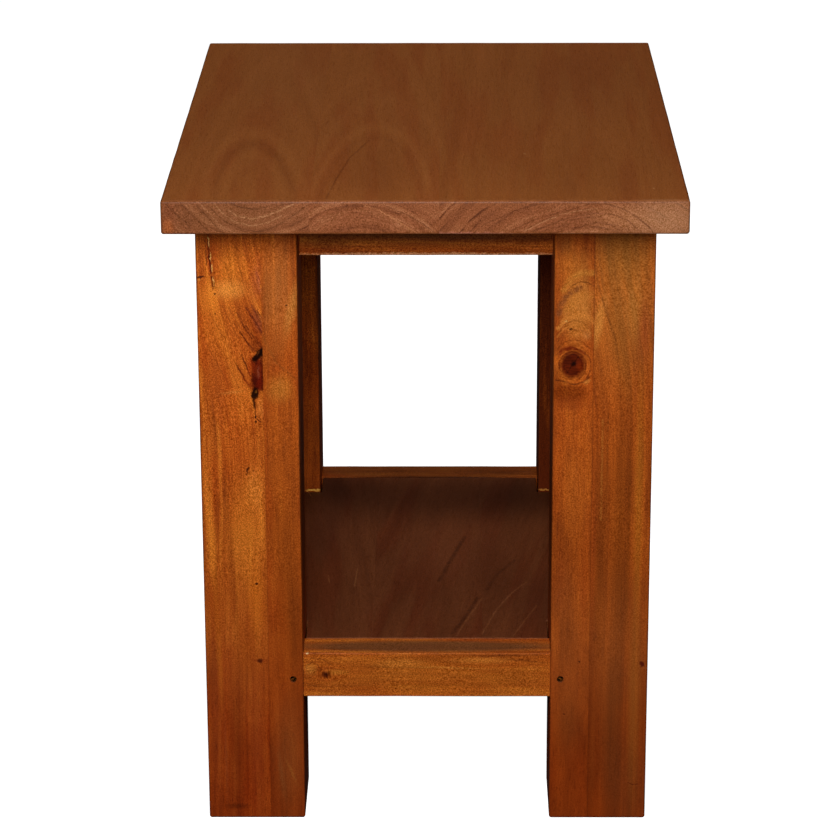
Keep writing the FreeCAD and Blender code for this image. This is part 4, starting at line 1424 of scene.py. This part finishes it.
def finish_hidden(colours):
    """Cleats and corner blocks keep the frame's shapes and get plain stained wood."""
    for side in SIDES:
        grain = "x" if side in ENDS else "y"
        dress("cleat_" + side, wood("cleat_%s_stained" % side, colours, "inner", grain, (0, 0, 60),
                                    ring_gap=4.0))
    for end in ENDS:
        for hand in HANDS:
            name = "corner_block_%s_%s" % (end, hand)
            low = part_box(name)[0]
            pith = (low[0] / MILLIMETRE, low[1] / MILLIMETRE, 470)
            dress(name, wood(name + "_stained", colours, "inner", "x", pith, ring_gap=4.5))


def model_pins(sizes, colours):
    """Steel pins through the tenons of the end rails, each with a land across its end."""
    spread, height, outer = pin_places()
    low, high = (Vector(corner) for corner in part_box("rail_pins"))
    radius = (high.z - low.z) / 2
    reach = sizes.pin_length
    place = Vector((-spread, -outer, height))
    pin = rod("rail_pins_turned", place + Vector((0, reach / 2, 0)), radius, reach)

    def rim(first, second):
        return abs(first.y - second.y) < HAIR

    bevel_edges(pin, sizes.pin_rim, EASED, rim)
    pocket = rod("pocket", place, radius - sizes.pin_land / 4, 2 * sizes.pin_pocket)
    land = block("land", (-radius, -reach, -sizes.pin_land / 2), (radius, reach, sizes.pin_land / 2))
    land.rotation_euler = (0, LAND_TURN, 0)
    land.location = place
    take(land)
    bpy.ops.object.transform_apply(location=True, rotation=True, scale=True)
    combine(pocket, land, "DIFFERENCE")
    combine(pin, pocket, "DIFFERENCE")
    others = [mirrored(pin, "pin_copy", across_x, across_y)
              for across_x, across_y in ((True, False), (False, True), (True, True))]
    take(pin)
    for other in others:
        other.select_set(True)
    bpy.ops.object.join()
    material = oiled_steel("oiled_steel_pins", colours, outer)
    settle(pin, "steel", material, "rail_pins")


# Stage

CAMERA_PLACE = (0.019515, -3.024544, 1.333777)
CAMERA_TURN, CAMERA_TILT, CAMERA_ROLL = (math.radians(angle) for angle in (0.515, 90 - 18.916, -0.183))
SENSOR_WIDTH = 36
LENS = 141.89
VIEW_DEPTH = 50

# Soft lights: name, place, the point that it faces, width, height, power, mirrored in the finish
LAMPS = (
    ("key", (-0.03, -1.246, 1.041), (0, -0.26, 0.5), 0.3, 0.52, 13.4, True),
    ("overhead", (0.0, 0.9, 2.0), (0, 0.15, 0.6), 1.2, 1.2, 12, False),
    ("rear_fill", (0.0, 2.6, 1.3), (0, 0, 0.4), 1.4, 1.2, 3, False),
    ("left_fill", (-2.4, 0.4, 1.0), (0, 0, 0.4), 1.2, 1.2, 1.8, False),
    ("right_fill", (2.4, 0.4, 1.0), (0, 0, 0.4), 1.2, 1.2, 1.8, False),
)
PAST_THE_CARD = ("key", "overhead", "rear_fill")
AMBIENT = 0.008


def put_in_scene(name, data):
    """A new object of the scene for a camera or a light."""
    item = bpy.data.objects.new(name, data)
    bpy.context.scene.collection.objects.link(item)
    return item


def camera_stand():
    """The camera: a long lens a little right of the middle, looking down on the top."""
    data = bpy.data.cameras.new("camera")
    data.sensor_width = SENSOR_WIDTH
    data.lens = LENS
    data.clip_end = VIEW_DEPTH
    data.dof.use_dof = False
    stand = put_in_scene("camera", data)
    stand.matrix_world = (Matrix.Translation(CAMERA_PLACE) @ Matrix.Rotation(CAMERA_TURN, 4, "Z")
                          @ Matrix.Rotation(CAMERA_TILT, 4, "X") @ Matrix.Rotation(CAMERA_ROLL, 4, "Z"))
    bpy.context.scene.camera = stand


def softbox(name, place, target, width, height, power, in_finish):
    """A soft light that faces a point."""
    data = bpy.data.lights.new(name, "AREA")
    data.shape = "RECTANGLE"
    data.size = width
    data.size_y = height
    data.energy = power
    lamp = put_in_scene(name, data)
    lamp.location = place
    lamp.rotation_euler = (Vector(target) - Vector(place)).to_track_quat("-Z", "Y").to_euler()
    lamp.visible_camera = False
    lamp.visible_glossy = in_finish
    return lamp


def black_card():
    """A black card between the legs; it keeps each side's fill off the inner faces across the table."""
    deselect_all()
    bpy.ops.mesh.primitive_plane_add(size=1, location=(0, 0, 0.26), rotation=(0, math.pi / 2, 0),
                                     scale=(0.52, 0.6, 1))
    card = bpy.context.object
    card.name = "black_card"
    card.visible_camera = False
    card.visible_diffuse = False
    card.visible_glossy = False
    card.visible_transmission = False
    return card


def pale_floor():
    """A plain pale floor, which lights the table from below only a little."""
    deselect_all()
    bpy.ops.mesh.primitive_plane_add(size=16, location=(0, 0, 0))
    floor = bpy.context.object
    floor.name = "floor"
    material = bpy.data.materials.new("pale_seamless_floor")
    tree = fresh_tree(material)
    seen = add(tree, "ShaderNodeLightPath").outputs["Is Camera Ray"]
    cloth = add(tree, "ShaderNodeBsdfDiffuse", {"Color": linear("#454545")})
    pale = add(tree, "ShaderNodeBsdfDiffuse", {"Color": linear("#e1e1e1")})
    glow = add(tree, "ShaderNodeEmission", {"Color": linear("#ffffff"), "Strength": 1.0})
    bright = add(tree, "ShaderNodeAddShader", {0: pale, 1: glow})
    both = add(tree, "ShaderNodeMixShader", {0: seen, 1: cloth, 2: bright})
    add(tree, "ShaderNodeOutputMaterial", {"Surface": both})
    floor.data.materials.append(material)


def studio():
    """A white background, soft light from the front and above, and weak fills at the sides and rear."""
    world = bpy.data.worlds.new("studio")
    bpy.context.scene.world = world
    tree = fresh_tree(world)
    seen = add(tree, "ShaderNodeLightPath").outputs["Is Camera Ray"]
    dim, white = (add(tree, "ShaderNodeBackground", {"Color": linear("#ffffff"), "Strength": strength})
                  for strength in (AMBIENT, 1.0))
    both = add(tree, "ShaderNodeMixShader", {0: seen, 1: dim, 2: white})
    add(tree, "ShaderNodeOutputWorld", {"Surface": both})
    card = black_card()
    lamps = {lamp[0]: softbox(*lamp) for lamp in LAMPS}
    spared = bpy.data.collections.new("spared")
    spared.objects.link(card)
    spared.collection_objects[0].light_linking.link_state = "EXCLUDE"
    for name in PAST_THE_CARD:
        lamps[name].light_linking.blocker_collection = spared
    bpy.context.scene.view_settings.view_transform = "Standard"


# Operators, one for each group of like pieces

def chosen(context):
    """The sizes and the colours that are set on the scene."""
    return context.scene.lamp_table_sizes, context.scene.lamp_table_colours


class LAMPTABLE_OT_stage(bpy.types.Operator):
    """Sets up the camera, the pale floor and the soft light"""
    bl_idname = "lamptable.stage"
    bl_label = "Stage"

    def execute(self, context):
        camera_stand()
        pale_floor()
        studio()
        return {"FINISHED"}


class LAMPTABLE_OT_top(bpy.types.Operator):
    """Models the three glued boards of the top"""
    bl_idname = "lamptable.top"
    bl_label = "Top"

    def execute(self, context):
        model_top(*chosen(context))
        return {"FINISHED"}


class LAMPTABLE_OT_legs(bpy.types.Operator):
    """Models the staves of the four legs"""
    bl_idname = "lamptable.legs"
    bl_label = "Legs"

    def execute(self, context):
        model_legs(*chosen(context))
        return {"FINISHED"}


class LAMPTABLE_OT_bars(bpy.types.Operator):
    """Models the aprons and the rails with their tenons"""
    bl_idname = "lamptable.bars"
    bl_label = "Aprons and Rails"

    def execute(self, context):
        model_bars(*chosen(context))
        return {"FINISHED"}


class LAMPTABLE_OT_shelf(bpy.types.Operator):
    """Models the boards of the shelf"""
    bl_idname = "lamptable.shelf"
    bl_label = "Shelf"

    def execute(self, context):
        model_shelf(*chosen(context))
        return {"FINISHED"}


class LAMPTABLE_OT_hidden(bpy.types.Operator):
    """Finishes the cleats, the corner blocks and the steel"""
    bl_idname = "lamptable.hidden"
    bl_label = "Hidden Pieces and Steel"

    def execute(self, context):
        sizes, colours = chosen(context)
        finish_hidden(colours)
        steel = oiled_steel("oiled_steel", colours)
        for node in ("cleat_screws", "shelf_screws", "top_screws"):
            dress(node, steel)
        model_pins(sizes, colours)
        return {"FINISHED"}


class LAMPTABLE_PT_panel(bpy.types.Panel):
    """Lists the steps that build the table"""
    bl_idname = "LAMPTABLE_PT_panel"
    bl_label = "Lamp Table"
    bl_space_type = "VIEW_3D"
    bl_region_type = "UI"
    bl_category = "Lamp Table"

    def draw(self, context):
        for operator in STEPS:
            self.layout.operator(operator.bl_idname)
        for group in chosen(context):
            box = self.layout.box()
            for key in group.__annotations__:
                box.prop(group, key)


STEPS = (LAMPTABLE_OT_stage, LAMPTABLE_OT_top, LAMPTABLE_OT_legs, LAMPTABLE_OT_bars,
         LAMPTABLE_OT_shelf, LAMPTABLE_OT_hidden)
CLASSES = (LampTableSizes, LampTableColours) + STEPS + (LAMPTABLE_PT_panel,)


def register():
    """Registers the classes and puts the sizes and colours on the scene."""
    for item in CLASSES:
        bpy.utils.register_class(item)
    bpy.types.Scene.lamp_table_sizes = PointerProperty(type=LampTableSizes)
    bpy.types.Scene.lamp_table_colours = PointerProperty(type=LampTableColours)


def unregister():
    """Takes everything off again."""
    del bpy.types.Scene.lamp_table_colours
    del bpy.types.Scene.lamp_table_sizes
    for item in reversed(CLASSES):
        bpy.utils.unregister_class(item)


def main():
    """Builds the table step by step."""
    register()
    figure_group()
    bpy.ops.lamptable.stage()
    bpy.ops.lamptable.top()
    bpy.ops.lamptable.legs()
    bpy.ops.lamptable.bars()
    bpy.ops.lamptable.shelf()
    bpy.ops.lamptable.hidden()


if __name__ == "__main__":
    main()
